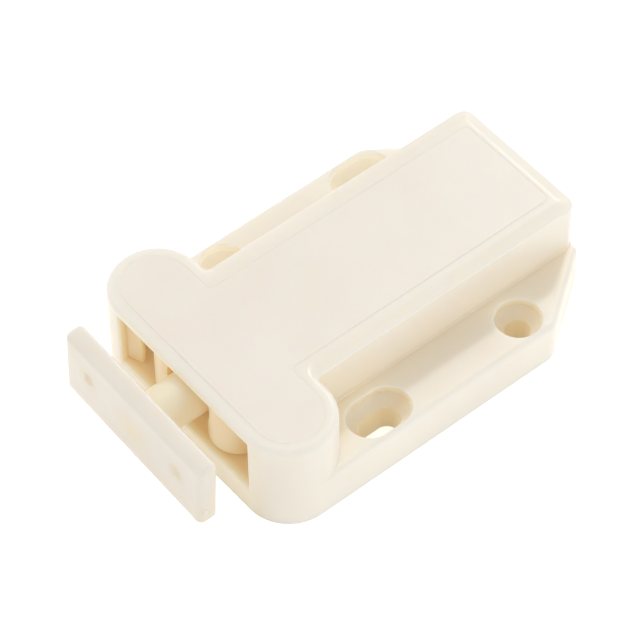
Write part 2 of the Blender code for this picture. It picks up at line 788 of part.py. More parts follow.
def follower_x(from_front):
    """The follower's arm seen from above: x at a distance from the front face."""
    share = (from_front - FOLLOWER_TIP_FROM_FRONT) / (FOLLOWER_PIVOT_FROM_FRONT - FOLLOWER_TIP_FROM_FRONT)
    return FOLLOWER_TIP_X + share * (FOLLOWER_PIVOT_X - FOLLOWER_TIP_X)


def leaf_low():
    return FOLLOWER_HEIGHT + FOLLOWER_WIRE / 2 + CAM_GAP


def build_follower(parts, steel, spring_steel):
    pivot = Vector((FOLLOWER_PIVOT_X, FRONT + FOLLOWER_PIVOT_FROM_FRONT, 0.0))
    tip = Vector((FOLLOWER_TIP_X, FRONT + FOLLOWER_TIP_FROM_FRONT, 0.0))
    heading = (tip - pivot).normalized()
    up = Vector((0.0, 0.0, 1.0))
    bend = FOLLOWER_BEND
    rise = FOLLOWER_HEIGHT - bend
    points = [pivot + up * (POST_BORE_LOW + POST_BORE_GAP)]
    for step in range(5):
        angle = math.pi / 2 * step / 4
        points.append(pivot + heading * bend * (1 - math.cos(angle)) + up * (rise + bend * math.sin(angle)))
    for step in range(5):
        angle = math.pi / 2 * step / 4
        points.append(tip - heading * bend * (1 - math.sin(angle)) + up * (rise + bend * math.cos(angle)))
    points.append(tip + up * (CARRIAGE_HIGH - TRACK_DEPTH + RUNNING_GAP))
    curve = bpy.data.curves.new("cam_follower", "CURVE")
    curve.dimensions = "3D"
    curve.bevel_depth = FOLLOWER_WIRE / 2
    curve.bevel_resolution = 2
    curve.use_fill_caps = True
    spline = curve.splines.new("POLY")
    spline.points.add(len(points) - 1)
    for target, point in zip(spline.points, points):
        target.co = (*(point - pivot), 1.0)
    follower = bpy.data.objects.new("cam_follower", curve)
    follower.location = pivot
    parts.objects.link(follower)
    finish(follower, steel)
    x = follower_x(LEAF_FROM_FRONT + LEAF_LENGTH / 2)
    leaf = box(
        "follower_leaf",
        (x - LEAF_WIDTH / 2, FRONT + LEAF_FROM_FRONT, leaf_low()),
        (x + LEAF_WIDTH / 2, FRONT + LEAF_FROM_FRONT + LEAF_LENGTH, leaf_low() + LEAF_THICKNESS),
        parts,
    )
    finish(leaf, spring_steel)


def plate_outline():
    """The strike plate's face, level, about its own middle."""
    x = PLATE_LENGTH / 2 - PLATE_CORNER
    y = PLATE_HEIGHT / 2 - PLATE_CORNER
    corners = ((x, y, 0), (-x, y, 90), (-x, -y, 180), (x, -y, 270))
    points = []
    for px, py, start in corners:
        points += arc((px, py), PLATE_CORNER, start, start + 90, 4)
    return points


def build_strike(parts, cutters, nylon, plastic):
    face = FRONT - PLATE_GAP - PLATE_THICKNESS
    axis = Vector((0.0, face, STRIKE_HEIGHT))
    plate = prism("strike_plate", plate_outline(), -PLATE_THICKNESS, 0.0, parts, edge_round=PLATE_EDGE)
    stand = Matrix.Rotation(math.pi / 2, 4, "X")
    tilt = Matrix.Rotation(PLATE_TILT, 4, "Y")
    plate.data.transform(tilt @ stand)
    plate.location = axis
    for side in (-1, 1):
        place = tilt @ Vector((side * PIP_SPACING / 2, 0.0, PIP_RISE)) + axis
        pip = rod(
            f"pip_{'left' if side < 0 else 'right'}",
            place + Vector((0.0, PIP_HEIGHT, 0.0)),
            place - Vector((0.0, PIP_HEIGHT, 0.0)),
            PIP_DIAMETER / 2,
            cutters,
            end_radius=PIP_DIAMETER / 4,
        )
        join(plate, pip)
    spigot_hole = rod(
        "spigot_hole",
        axis + Vector((0.0, SPIGOT_WALL, 0.0)),
        axis + Vector((0.0, PLATE_THICKNESS + OVERCUT, 0.0)),
        SPIGOT_DIAMETER / 2 + PIN_CLEARANCE,
        cutters,
    )
    cut(plate, spigot_hole)
    finish(plate, nylon)

    head = STRIKE_HEAD_FROM_FRONT
    head_radius = STRIKE_HEAD_DIAMETER / 2
    neck_radius = NECK_DIAMETER / 2
    shoulder = -PLATE_GAP + PIN_CLEARANCE
    spigot_end = -PLATE_GAP - PLATE_THICKNESS + SPIGOT_WALL + PIN_CLEARANCE
    profile = [
        (0.0, head + STRIKE_HEAD_LENGTH),
        (head_radius - STRIKE_HEAD_DOME, head + STRIKE_HEAD_LENGTH),
        (head_radius, head + STRIKE_HEAD_LENGTH - STRIKE_HEAD_DOME),
        (head_radius, head + head_radius - neck_radius),
        (neck_radius, head),
        (neck_radius, STEM_REACH),
        (STEM_DIAMETER / 2 - PLATE_EDGE, STEM_REACH),
        (STEM_DIAMETER / 2, STEM_REACH - PLATE_EDGE),
        (STEM_DIAMETER / 2, shoulder),
        (SPIGOT_DIAMETER / 2, shoulder),
        (SPIGOT_DIAMETER / 2, spigot_end),
        (0.0, spigot_end),
    ]
    stem = turned("strike_stem", profile, parts)
    stem.location = (0.0, FRONT, STRIKE_HEIGHT)
    stem.rotation_euler = (-math.pi / 2, 0.0, 0.0)
    finish(stem, plastic)


def main():
    clear_scene()
    parts = new_collection("door_catch")
    cutters = new_collection("cutters")
    build_housing(parts, cutters, CREAM)
    build_cover(parts, cutters, CREAM)
    build_jaws(parts, cutters, WARM_CREAM, STEEL, SPRING_STEEL)
    bore_floor = build_plunger(parts, cutters, WARM_CREAM)
    build_main_spring(parts, bore_floor, STEEL, SPRING_STEEL)
    build_follower(parts, STEEL, SPRING_STEEL)
    build_strike(parts, cutters, WHITE, CREAM)


main()
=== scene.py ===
import math

import bmesh
import bpy
from mathutils import Matrix, Vector


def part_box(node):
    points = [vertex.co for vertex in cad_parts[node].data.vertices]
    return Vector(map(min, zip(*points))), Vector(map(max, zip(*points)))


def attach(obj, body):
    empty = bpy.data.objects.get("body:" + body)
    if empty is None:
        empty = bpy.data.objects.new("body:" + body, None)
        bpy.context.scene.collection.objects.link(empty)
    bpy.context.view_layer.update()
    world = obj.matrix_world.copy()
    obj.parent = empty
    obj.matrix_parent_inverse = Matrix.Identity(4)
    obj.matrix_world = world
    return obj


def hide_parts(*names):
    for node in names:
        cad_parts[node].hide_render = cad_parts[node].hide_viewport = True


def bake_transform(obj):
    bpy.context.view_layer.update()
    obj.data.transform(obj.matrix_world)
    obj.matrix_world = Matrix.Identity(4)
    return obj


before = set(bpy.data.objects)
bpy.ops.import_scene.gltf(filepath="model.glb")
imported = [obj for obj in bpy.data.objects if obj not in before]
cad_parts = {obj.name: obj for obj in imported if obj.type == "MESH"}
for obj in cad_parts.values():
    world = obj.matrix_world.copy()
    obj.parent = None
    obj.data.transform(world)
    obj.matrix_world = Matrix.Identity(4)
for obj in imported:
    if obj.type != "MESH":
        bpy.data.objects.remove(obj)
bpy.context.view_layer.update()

mm = 0.001
scene = bpy.context.scene
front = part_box("housing")[0][1] / mm  # y of the front face; every length below is in millimetres
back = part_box("housing")[1][1] / mm
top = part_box("housing")[1][2] / mm
beyond = 1.0  # how far a cutter runs past the face that it opens
bothSides = ((-1, "Left"), (1, "Right"))


def row(fromFront):
    return front + fromFront


def mirrored(corners):
    # the same corners on the other side, still anticlockwise
    return [(-x, y, radius) for x, y, radius in reversed(corners)]


def quarterTurn(steps):
    # sine and cosine at even steps through a right angle
    angles = [math.pi / 2 * step / steps for step in range(steps + 1)]
    return [(math.sin(angle), math.cos(angle)) for angle in angles]


# Shapes are drawn in millimetres and scaled once, when the piece is made.
def outlineRing(corners, kinds, ring, steps):
    # corners (x, y, radius) run anticlockwise
    # each side moves in and up by the ring's (inset, height) of its kind
    leastRound = 0.3  # share of its radius that a corner keeps
    points = []
    for index, (x, y, radius) in enumerate(corners):
        here = Vector((x, y))
        wayIn = (here - Vector(corners[index - 1][:2])).normalized()
        wayOut = (Vector(corners[(index + 1) % len(corners)][:2]) - here).normalized()
        insetIn, heightIn = ring[kinds[index - 1]]
        insetOut, heightOut = ring[kinds[index]]
        leftIn = Vector((-wayIn.y, wayIn.x))
        leftOut = Vector((-wayOut.y, wayOut.x))
        cross = wayIn.x * wayOut.y - wayIn.y * wayOut.x
        turn = math.atan2(cross, wayIn.dot(wayOut))
        if abs(cross) < 1e-6:  # the outline runs straight on
            moved = here + leftIn * insetIn
        else:
            shiftX = (insetIn * leftOut.y - insetOut * leftIn.y) / cross
            shiftY = (insetOut * leftIn.x - insetIn * leftOut.x) / cross
            moved = here + Vector((shiftX, shiftY))
        if radius > 0:
            inset = (insetIn + insetOut) / 2
            radius = max(radius - math.copysign(inset, turn), leastRound * radius)
        start = moved - wayIn * radius * math.tan(abs(turn) / 2)
        center = start + leftIn * math.copysign(radius, turn)
        for step in range(steps + 1):
            share = step / max(steps, 1)
            arm = start - center
            arm.rotate(Matrix.Rotation(turn * share, 2))
            point = center + arm
            points.append(Vector((point.x, point.y, heightIn + (heightOut - heightIn) * share)))
    return points


def loftShape(rings):
    # closed skin over rings of equal count, bottom to top, with both ends filled
    weld = 0.0005
    shape = bmesh.new()
    made = [[shape.verts.new(point) for point in ring] for ring in rings]
    for low, high in zip(made, made[1:]):
        for index, vert in enumerate(low):
            after = (index + 1) % len(low)
            shape.faces.new((vert, low[after], high[after], high[index]))
    shape.faces.new(list(reversed(made[0])))
    shape.faces.new(made[-1])
    bmesh.ops.remove_doubles(shape, verts=shape.verts, dist=weld)
    bmesh.ops.recalc_face_normals(shape, faces=shape.faces)
    return shape


def prismShape(corners, profile, kinds=None, steps=8):
    # profile is a list of (inset, height), or of one such pair for each kind of side
    kinds = kinds or [0] * len(corners)
    rings = [ring if isinstance(ring[0], tuple) else (ring,) for ring in profile]
    return loftShape([outlineRing(corners, kinds, ring, steps) for ring in rings])


def roundedTop(high, radius, steps):
    # (inset, height) pairs round an upper edge
    return [(radius * (1 - cosine), high - radius * (1 - sine)) for sine, cosine in quarterTurn(steps)]


def softSides(low, high, lowRound, highRound, steps=4):
    # the same up a wall with rounded lower and upper edges
    turns = quarterTurn(steps)
    foot = [(lowRound * (1 - sine), low + lowRound * (1 - cosine)) for sine, cosine in turns]
    return foot + roundedTop(high, highRound, steps)


def flaredSides(deep, face, edge, steps=4):
    # a cutter's sides, opening out where it meets the face, so that the cut has a rounded edge
    steepest = math.radians(75)
    rise = 0.1  # past the face
    pairs = [(0.0, deep)]
    for step in range(steps + 1):
        angle = steepest * step / steps
        pairs.append((-edge * (1 - math.cos(angle)), face - edge * (1 - math.sin(angle))))
    pairs.append((pairs[-1][0] - rise * math.tan(steepest), pairs[-1][1] + rise))
    return pairs


def insetFrom(radius, pairs):
    return [(radius - inset, height) for inset, height in pairs]


def boxCorners(low, high, radius):
    places = (low, (high[0], low[1]), high, (low[0], high[1]))
    return [(x, y, radius) for x, y in places]


def arcPoints(center, radius, start, end, steps):
    points = []
    for step in range(steps + 1):
        angle = math.radians(start + (end - start) * step / steps)
        points.append((center[0] + radius * math.cos(angle), center[1] + radius * math.sin(angle), 0.0))
    return points


def turnedShape(profile, segments=48, stretch=0.0):
    # (radius, height) pairs turned about Z, bottom to top; stretch parts the two halves along Y
    rings = []
    for radius, height in profile:
        ring = []
        for index in range(segments):
            angle = 2 * math.pi * (index + 0.5) / segments
            y = radius * math.sin(angle)
            ring.append(Vector((radius * math.cos(angle), y + math.copysign(stretch / 2, y), height)))
        rings.append(ring)
    return loftShape(rings)


def rodShape(radius, low, high, segments=32, lowEdge=0.0, highEdge=0.0):
    # a round rod with its ends chamfered where an edge is given
    profile = [(radius - lowEdge, low)]
    if lowEdge:
        profile.append((radius, low + lowEdge))
    if highEdge:
        profile.append((radius, high - highEdge))
    profile.append((radius - highEdge, high))
    return turnedShape(profile, segments)


def tubeShape(path, radius, sides):
    # round wire along the path, each end broken to a small bevel
    bevel = 0.3 * radius
    stations = [(path[0], radius - bevel)]
    stations.append((path[0] + (path[1] - path[0]).normalized() * bevel, radius))
    stations += [(point, radius) for point in path[1:-1]]
    stations.append((path[-1] + (path[-2] - path[-1]).normalized() * bevel, radius))
    stations.append((path[-1], radius - bevel))
    rings = []
    heading = (path[1] - path[0]).normalized()
    side = heading.orthogonal().normalized()
    for index, (point, wide) in enumerate(stations):
        before = stations[max(index - 1, 0)][0]
        after = stations[min(index + 1, len(stations) - 1)][0]
        newHeading = (after - before).normalized()
        side = heading.rotation_difference(newHeading) @ side
        heading = newHeading
        side = (side - heading * side.dot(heading)).normalized()
        across = heading.cross(side)
        ring = []
        for step in range(sides):
            angle = 2 * math.pi * step / sides
            ring.append(point + (side * math.cos(angle) + across * math.sin(angle)) * wide)
        rings.append(ring)
    return loftShape(rings)


def placed(shape, matrix):
    bmesh.ops.transform(shape, matrix=matrix, verts=shape.verts)
    return shape


def at(x, y, z=0.0):
    return Matrix.Translation((x, y, z))


def facingOut(side):
    return Matrix.Rotation(side * math.pi / 2, 4, "Y")  # what was up faces +X or -X


facingFront = Matrix.Rotation(math.pi / 2, 4, "X")  # what was up faces -Y, what was +Y points up
facingBack = Matrix.Rotation(-math.pi / 2, 4, "X")  # what was up faces +Y


def meshObject(name, shape):
    mesh = bpy.data.meshes.new(name)
    shape.to_mesh(mesh)
    shape.free()
    item = bpy.data.objects.new(name, mesh)
    scene.collection.objects.link(item)
    return item


def worked(base, changes):
    # the base shape after each (operation, shape), in order
    sliver = 0.0004
    item = meshObject("helper", base)
    tools = []
    for operation, shape in changes:
        tool = meshObject("helper", shape)
        tools.append(tool)
        change = item.modifiers.new("change", "BOOLEAN")
        change.operation = operation
        change.solver = "EXACT"
        change.object = tool
    bpy.context.view_layer.update()
    graph = bpy.context.evaluated_depsgraph_get()
    mesh = bpy.data.meshes.new_from_object(item.evaluated_get(graph))
    result = bmesh.new()
    result.from_mesh(mesh)
    bmesh.ops.dissolve_degenerate(result, edges=result.edges, dist=sliver)
    for helper in [item] + tools:
        old = helper.data
        bpy.data.objects.remove(helper, do_unlink=True)
        bpy.data.meshes.remove(old)
    bpy.data.meshes.remove(mesh)
    return result


def addPiece(name, shape, material, node, body=None):
    sharpFrom = math.radians(32)
    piece = meshObject(name, placed(shape, Matrix.Scale(mm, 4)))
    piece.data.materials.append(material)
    piece.data.shade_smooth()
    piece.data.set_sharp_from_angle(angle=sharpFrom)
    if body:
        even = piece.modifiers.new("even shading", "WEIGHTED_NORMAL")
        even.keep_sharp = True
        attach(piece, body)
    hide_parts(node)
    return piece


def letsLightIn(piece):
    # thin pale plastic passes scattered light on to what is behind it
    piece.visible_diffuse = False


def hexColour(text):
    # sRGB hex to the linear values that the shader works in
    linear = []
    for index in (0, 2, 4):
        value = int(text[index : index + 2], 16) / 255
        linear.append(value / 12.92 if value <= 0.04045 else ((value + 0.055) / 1.055) ** 2.4)
    return (*linear, 1.0)


def addNode(tree, kind, values=None, links=None, **settings):
    node = tree.nodes.new("ShaderNode" + kind)
    for name, value in settings.items():
        setattr(node, name, value)
    for socket, value in (values or {}).items():
        node.inputs[socket].default_value = value
    for socket, source in (links or {}).items():
        tree.links.new(source, node.inputs[socket])
    return node


def startMaterial(name):
    made = bpy.data.materials.new(name)
    made.use_nodes = True
    return made, made.node_tree, made.node_tree.nodes["Principled BSDF"]


def surfaceMarks(tree, shader, finish, cloud, marks):
    # gloss that varies a little with the cloud, and a fine relief from the marks
    rough = finish["roughness"]
    spread = finish["spread"]
    ends = {"From Min": 0.3, "From Max": 0.7, "To Min": rough - spread, "To Max": rough + spread}
    gloss = addNode(tree, "MapRange", ends, {"Value": cloud})
    tree.links.new(gloss.outputs[0], shader.inputs["Roughness"])
    depth = {"Strength": finish["markStrength"], "Distance": finish["markDeepMm"] * mm}
    bump = addNode(tree, "Bump", depth, {"Height": marks})
    tree.links.new(bump.outputs[0], shader.inputs["Normal"])


def paintRoomShade(tree, place, plain, room):
    # painted shade: the room between two corners takes a golden colour of its own, which comes in
    # softly from the front
    low = room["low"]
    high = room["high"]
    across = addNode(tree, "SeparateXYZ", None, {0: place}).outputs
    share = addNode(
        tree,
        "MapRange",
        {"From Min": low[1] * mm, "From Max": (low[1] + room["fade"]) * mm, "To Max": room["share"]},
        {"Value": across["Y"]},
        interpolation_type="SMOOTHSTEP",
    ).outputs[0]
    for axis in range(3):
        middle = (low[axis] + high[axis]) / 2 * mm
        half = (high[axis] - low[axis]) / 2 * mm
        within = addNode(tree, "Math", {1: middle, 2: half}, {0: across[axis]}, operation="COMPARE")
        both = {0: share, 1: within.outputs[0]}
        share = addNode(tree, "Math", None, both, operation="MULTIPLY").outputs[0]
    tint = {7: hexColour(room["colour"])}
    return addNode(tree, "Mix", tint, {0: share, 6: plain}, data_type="RGBA").outputs[2]


def mouldedPlastic(finish):
    # colour drifts along the flow of the melt, the skin is an even satin, and light sinks in a little
    made, tree, shader = startMaterial(finish["name"])
    shader.inputs["IOR"].default_value = finish["ior"]
    shader.inputs["Subsurface Weight"].default_value = finish["sinkShare"]
    shader.inputs["Subsurface Radius"].default_value = finish["sinkColours"]
    shader.inputs["Subsurface Scale"].default_value = finish["sinkMm"] * mm
    shader.inputs["Emission Color"].default_value = hexColour(finish["paintedGlowColour"])
    place = addNode(tree, "TexCoord").outputs["Object"]
    clouds = {}
    for kind, detail in (("flow", 2.0), ("satin", 3.0), ("grain", 4.0)):
        size = {"Scale": 1 / (finish[kind + "Mm"] * mm), "Detail": detail}
        clouds[kind] = addNode(tree, "TexNoise", size, {"Vector": place}).outputs[0]
    ends = {"From Min": 0.35, "From Max": 0.65}
    flowShare = addNode(tree, "MapRange", ends, {"Value": clouds["flow"]})
    melt = {6: hexColour(finish["colour"]), 7: hexColour(finish["flowColour"])}
    colour = addNode(tree, "Mix", melt, {0: flowShare.outputs[0]}, data_type="RGBA")
    # painted shade and glow: occlusion warms the colour in hollows and drives a faint emission there,
    # standing for the light that comes through the plastic
    openness = addNode(tree, "AmbientOcclusion", {"Distance": finish["paintedShadeMm"] * mm}, samples=8)
    closed = addNode(tree, "Math", {0: 1.0}, {1: openness.outputs["AO"]}, operation="SUBTRACT")
    fall = {1: finish["paintedShadeFall"]}
    deep = addNode(tree, "Math", fall, {0: closed.outputs[0]}, operation="POWER").outputs[0]
    paintedShade = {7: hexColour(finish["paintedShadeColour"])}
    paintedShadeMix = addNode(tree, "Mix", paintedShade, {0: deep, 6: colour.outputs[2]}, data_type="RGBA")
    paintedGlow = addNode(tree, "Math", {1: finish["paintedGlowLight"]}, {0: deep}, operation="MULTIPLY")
    tree.links.new(paintedGlow.outputs[0], shader.inputs["Emission Strength"])
    if "thin" in finish:
        # painted light: further out from the middle than this, the painted shade and glow turn pale,
        # standing for light through thin walls
        thin = finish["thin"]
        across = addNode(tree, "SeparateXYZ", None, {0: place}).outputs["X"]
        outward = addNode(tree, "Math", None, {0: across}, operation="ABSOLUTE").outputs[0]
        reach = {"From Min": thin["starts"] * mm, "From Max": thin["whole"] * mm}
        share = addNode(tree, "MapRange", reach, {"Value": outward}).outputs[0]
        levels = {"To Min": finish["paintedGlowLight"], "To Max": thin["light"]}
        light = addNode(tree, "MapRange", levels, {"Value": share}).outputs[0]
        tints = {6: hexColour(finish["paintedShadeColour"]), 7: hexColour(thin["colour"])}
        pale = addNode(tree, "Mix", tints, {0: share}, data_type="RGBA").outputs[2]
        tree.links.new(light, paintedGlow.inputs[1])
        tree.links.new(pale, paintedShadeMix.inputs[7])
        tree.links.new(pale, shader.inputs["Emission Color"])
    coloured = paintedShadeMix.outputs[2]
    # painted shade: a golden tint over the room inside the mouth
    if "room" in finish:
        coloured = paintRoomShade(tree, place, coloured, finish["room"])
    tree.links.new(coloured, shader.inputs["Base Color"])
    surfaceMarks(tree, shader, finish, clouds["satin"], clouds["grain"])
    return made


def addPaintedGlowPatches(material, patches, colour):
    # painted glow: warm patches stand for light showing through a thin wall; each patch is a place and
    # a radius
    tree = material.node_tree
    base = tree.nodes["Principled BSDF"].inputs["Base Color"]
    plain = base.links[0].from_socket
    place = addNode(tree, "TexCoord").outputs["Object"]
    share = None
    for middle, radius in patches:
        away = addNode(tree, "VectorMath", {1: middle * mm}, {0: place}, operation="DISTANCE")
        patch = addNode(
            tree,
            "MapRange",
            {"From Max": radius * mm, "To Min": 1.0, "To Max": 0.0},
            {"Value": away.outputs["Value"]},
            interpolation_type="SMOOTHSTEP",
        ).outputs[0]
        if share:
            patch = addNode(tree, "Math", None, {0: share, 1: patch}, operation="MAXIMUM").outputs[0]
        share = patch
    paintedGlowMix = addNode(tree, "Mix", {7: hexColour(colour)}, {0: share, 6: plain}, data_type="RGBA")
    tree.links.new(paintedGlowMix.outputs[2], base)


def drawnSteel(finish):
    # bright metal whose fine marks run round or along the piece and spread its highlights
    made, tree, shader = startMaterial(finish["name"])
    shader.inputs["Metallic"].default_value = 1.0
    place = addNode(tree, "TexCoord").outputs["Object"]
    stretch = addNode(tree, "Mapping", {"Scale": finish["markStretch"]}, {"Vector": place})
    size = {"Scale": 1 / (finish["markMm"] * mm), "Detail": 4.0}
    marks = addNode(tree, "TexNoise", size, {"Vector": stretch.outputs[0]}).outputs[0]
    colours = {6: hexColour(finish["colour"]), 7: hexColour(finish["markColour"])}
    colour = addNode(tree, "Mix", colours, {0: marks}, data_type="RGBA")
    tree.links.new(colour.outputs[2], shader.inputs["Base Color"])
    surfaceMarks(tree, shader, finish, marks, marks)
    return made


# ABS, injection moulded: cream, satin, slightly see-through; its thin walls glow warm partly by
# subsurface light and partly by painted glow and shade
mouldedAbs = {
    "colour": "F3EBDE",
    "paintedGlowColour": "F5DDB0",
    "paintedGlowLight": 0.1,
    "ior": 1.5,
    "roughness": 0.34,
    "spread": 0.04,
    "satinMm": 5.0,
    "grainMm": 0.35,  # the mould's spark grain is about 0.05 mm: drawn coarser so that it shows
    "markStrength": 0.12,
    "markDeepMm": 0.01,
}
creamAbs = mouldedPlastic(
    {
        **mouldedAbs,
        "name": "creamMouldedAbs",
        "flowColour": "F5EEE2",
        "flowMm": 18.0,
        "paintedShadeColour": "F3E0B4",
        "paintedShadeMm": 12.0,
        "paintedShadeFall": 1.6,
        "sinkShare": 0.8,
        "sinkMm": 3.2,
        "sinkColours": (1.0, 0.88, 0.74),
        # painted light: outside its screw holes the flange's painted shade and glow turn pale, for
        # light through its thin wall
        "thin": {"colour": "F7F0E2", "light": 0.18, "starts": 16.0, "whole": 18.5},
        # painted shade: inside the mouth the colour turns golden, for the light that has all come
        # through the walls
        "room": {
            "colour": "EBCD92",
            "share": 0.7,
            "fade": 1.4,
            "low": (-14.3, row(0.3), 4.7),
            "high": (14.3, row(11.5), 14.6),
        },
    }
)
# the cover is the same ABS from its own mould: thin and flat, so light doesn't sink in as far
coverAbs = mouldedPlastic(
    {
        **mouldedAbs,
        "name": "coverMouldedAbs",
        "flowColour": "F5EEE3",
        "flowMm": 16.0,
        "paintedShadeColour": "F5E3BE",
        "paintedShadeMm": 2.0,
        "paintedShadeFall": 2.0,
        "sinkShare": 0.35,
        "sinkMm": 0.8,
        "sinkColours": (1.0, 0.62, 0.36),
    }
)
# acetal, injection moulded: waxy, natural colour, light goes deep into it
naturalAcetal = mouldedPlastic(
    {
        "name": "naturalMouldedAcetal",
        "colour": "F3E3C4",
        "flowColour": "F1DFBC",
        "flowMm": 9.0,
        "paintedShadeColour": "EFD29A",
        "paintedShadeMm": 10.0,
        "paintedShadeFall": 2.0,
        "paintedGlowColour": "F5D498",
        "paintedGlowLight": 0.1,
        "ior": 1.48,
        "roughness": 0.34,
        "spread": 0.05,
        "satinMm": 3.0,
        "sinkShare": 0.7,
        "sinkMm": 2.0,
        "sinkColours": (1.0, 0.6, 0.3),
        "grainMm": 0.3,
        "markStrength": 0.08,
        "markDeepMm": 0.008,
    }
)
# nylon, injection moulded: whiter than the housing, with a soft satin
nylon = {
    "name": "whiteMouldedNylon",
    "colour": "EBE5DA",
    "flowColour": "E9E2D6",
    "flowMm": 10.0,
    "paintedShadeColour": "F0DAAE",
    "paintedShadeMm": 10.0,
    "paintedShadeFall": 1.2,
    "paintedGlowColour": "F7DCA8",
    "paintedGlowLight": 0.08,
    "ior": 1.53,
    "roughness": 0.36,
    "spread": 0.05,
    "satinMm": 4.0,
    "sinkShare": 0.8,
    "sinkMm": 2.5,
    "sinkColours": (1.0, 0.92, 0.84),
    "grainMm": 0.3,
    "markStrength": 0.1,
    "markDeepMm": 0.008,
}
whiteNylon = mouldedPlastic(nylon)
# the stem is the same nylon; this copy is lighter and warmer, painted light and warm shade for where it
# stands in the mouth
stemPaintedNylon = mouldedPlastic(
    {**nylon, "name": "stemPaintedMouldedNylon", "colour": "F9F0DB", "flowColour": "F7EDD6"}
)
steel = {"spread": 0.06, "markStrength": 0.25, "markDeepMm": 0.004}
# steel rod, turned: fine rings round the pin
turnedSteel = drawnSteel(
    {
        **steel,
        "name": "turnedSteelRod",
        "colour": "C9CACC",
        "markColour": "B4B5B8",
        "roughness": 0.28,
        "markMm": 0.2,  # turning marks are about 0.05 mm apart: drawn coarser so that they show
        "markStretch": (0.15, 0.15, 1.0),
    }
)
# spring wire, drawn: faint marks, a little darker than the rod
springWire = drawnSteel(
    {
        **steel,
        "name": "drawnSpringWire",
        "colour": "B9BABD",
        "markColour": "A2A3A7",
        "roughness": 0.3,
        "markMm": 0.5,
        "markStretch": (1.0, 1.0, 1.0),
    }
)
# steel strip, cold rolled: marks run along the strip
rolledStrip = drawnSteel(
    {
        **steel,
        "name": "rolledSteelStrip",
        "colour": "BFC0C3",
        "markColour": "ABACB0",
        "roughness": 0.26,
        "markMm": 0.25,
        "markStretch": (1.0, 0.08, 1.0),
        "markDeepMm": 0.003,
    }
)
print("materials made:", len(bpy.data.materials))

# Motion and the pivots, which several pieces share
motion = {
    "stroke": 9.0,
    "overtravel": 1.5,
    "jawOpen": math.radians(28.0),
    "followerSwing": math.radians(5.0),
    "pivotX": 5.2,
    "pivotRow": 11.8,
    "tailLength": 4.0,
    "tailInset": 0.6,
    "pegRadius": 0.8,
    "wedgeRow": 12.5,
    "camGap": 0.2,
    "runningGap": 0.3,
    "pinRadius": 1.0,
    "pinClearance": 0.15,
}
pivotX = motion["pivotX"]
pivotY = row(motion["pivotRow"])
tailX = pivotX - motion["tailInset"]
tailY = pivotY + motion["tailLength"]
pinHole = motion["pinRadius"] + motion["pinClearance"]


def pegPlace(stroke):
    # the right jaw's peg on the plunger, with the plunger this far out
    angle = stroke * motion["jawOpen"] / motion["stroke"]
    x = pivotX - motion["tailInset"] * math.cos(angle) - motion["tailLength"] * math.sin(angle)
    y = pivotY - motion["tailInset"] * math.sin(angle) + motion["tailLength"] * math.cos(angle)
    return x, y + stroke


def halfWedge(stroke):
    return pegPlace(stroke)[0] - motion["pegRadius"] - motion["camGap"]


housing = {
    "halfWidth": 20.9,
    "headDepth": 13.6,
    "halfTrunk": 11.8,
    "trunkCorner": 1.8,
    "teeFillet": 0.8,
    "headEdge": 0.9,
    "shoulderWidth": 2.1,
    "shoulderDrop": 0.45,
    "shoulderEdge": 0.2,
    "backShare": 0.86,  # the shoulder is narrower along the back
    "footEdge": 0.2,
    "flangeHigh": 7.3,
    "flangeEdge": 0.8,
    "rootFillet": 0.4,  # where the walls rise from the flange
    "flangeLead": 0.3,
    "backStep": 0.2,
    "halfBackEdge": 12.6,
    "backChamfer": 11.6,
    "chamferRound": 3.0,
    "backCorner": 0.8,
    "headWall": 2.1,
    "halfHeadRoom": 14.2,
    "headRoomCorner": 0.5,
    "halfCavity": 7.5,
    "cavityCorner": 0.3,
    "backWall": 3.0,
    "floor": 2.4,
    "halfMouth": 13.8,
    "mouthSill": 4.8,
    "mouthHigh": 14.4,
    "mouthCorner": 0.35,
    "mouthEdge": 0.4,
    "lipReach": 2.6,  # the lips inside the mouth, from its sides inwards
    "lipRow": 1.2,
    "lipTipRow": 2.2,
    "lipBackRow": 5.1,
    "lipTip": 0.45,
    "lipRise": 0.1,
    "coverRimHead": 1.8,
    "coverRimTrunk": 3.1,
    "coverRimBack": 2.5,
    "ledge": 14.85,
    "recessEdge": 0.025,
    "holeX": 16.73,
    "holeRows": (20.3, 45.3),
    "bore": 1.85,
    "sinkMouth": 3.35,
    "sinkStraight": 1.3,
    "holeEdge": 0.2,
    "slotStretch": 3.0,
    "pinSeat": 1.4,
    "springHeight": 8.5,
    "pocketDepth": 3.2,
    "pocketRadius": 1.6,
    "postX": 5.0,
    "postRow": 50.0,
    "postRadius": 1.8,
    "postHigh": 11.2,
    "postEdge": 0.2,
    "postBore": 0.75,
    "postBoreLow": 4.6,
    "guideHeight": 6.4,
    "guideRadius": 1.7,
    "guideSeat": 1.2,
}
cavityBack = back - housing["backWall"]
guideAxis = at(0.0, 0.0, housing["guideHeight"]) @ facingBack


def teeCorners(headInset, halfTrunk, backAt, corner):
    reach = housing["halfWidth"] - headInset
    radius = housing["headDepth"] / 2 - headInset
    rear = front + housing["headDepth"] - headInset
    right = [
        (reach, front + headInset, radius),
        (reach, rear, radius),
        (halfTrunk, rear, housing["teeFillet"]),
        (halfTrunk, backAt, corner),
    ]
    return right + mirrored(right)


def coverCorners(seam):
    # the cover's outline, or without a seam that of the recess it lies in
    return teeCorners(
        housing["coverRimHead"] + seam,
        housing["halfTrunk"] - housing["coverRimTrunk"] - seam,
        back - housing["coverRimBack"] - seam,
        housing["trunkCorner"] / 2,
    )


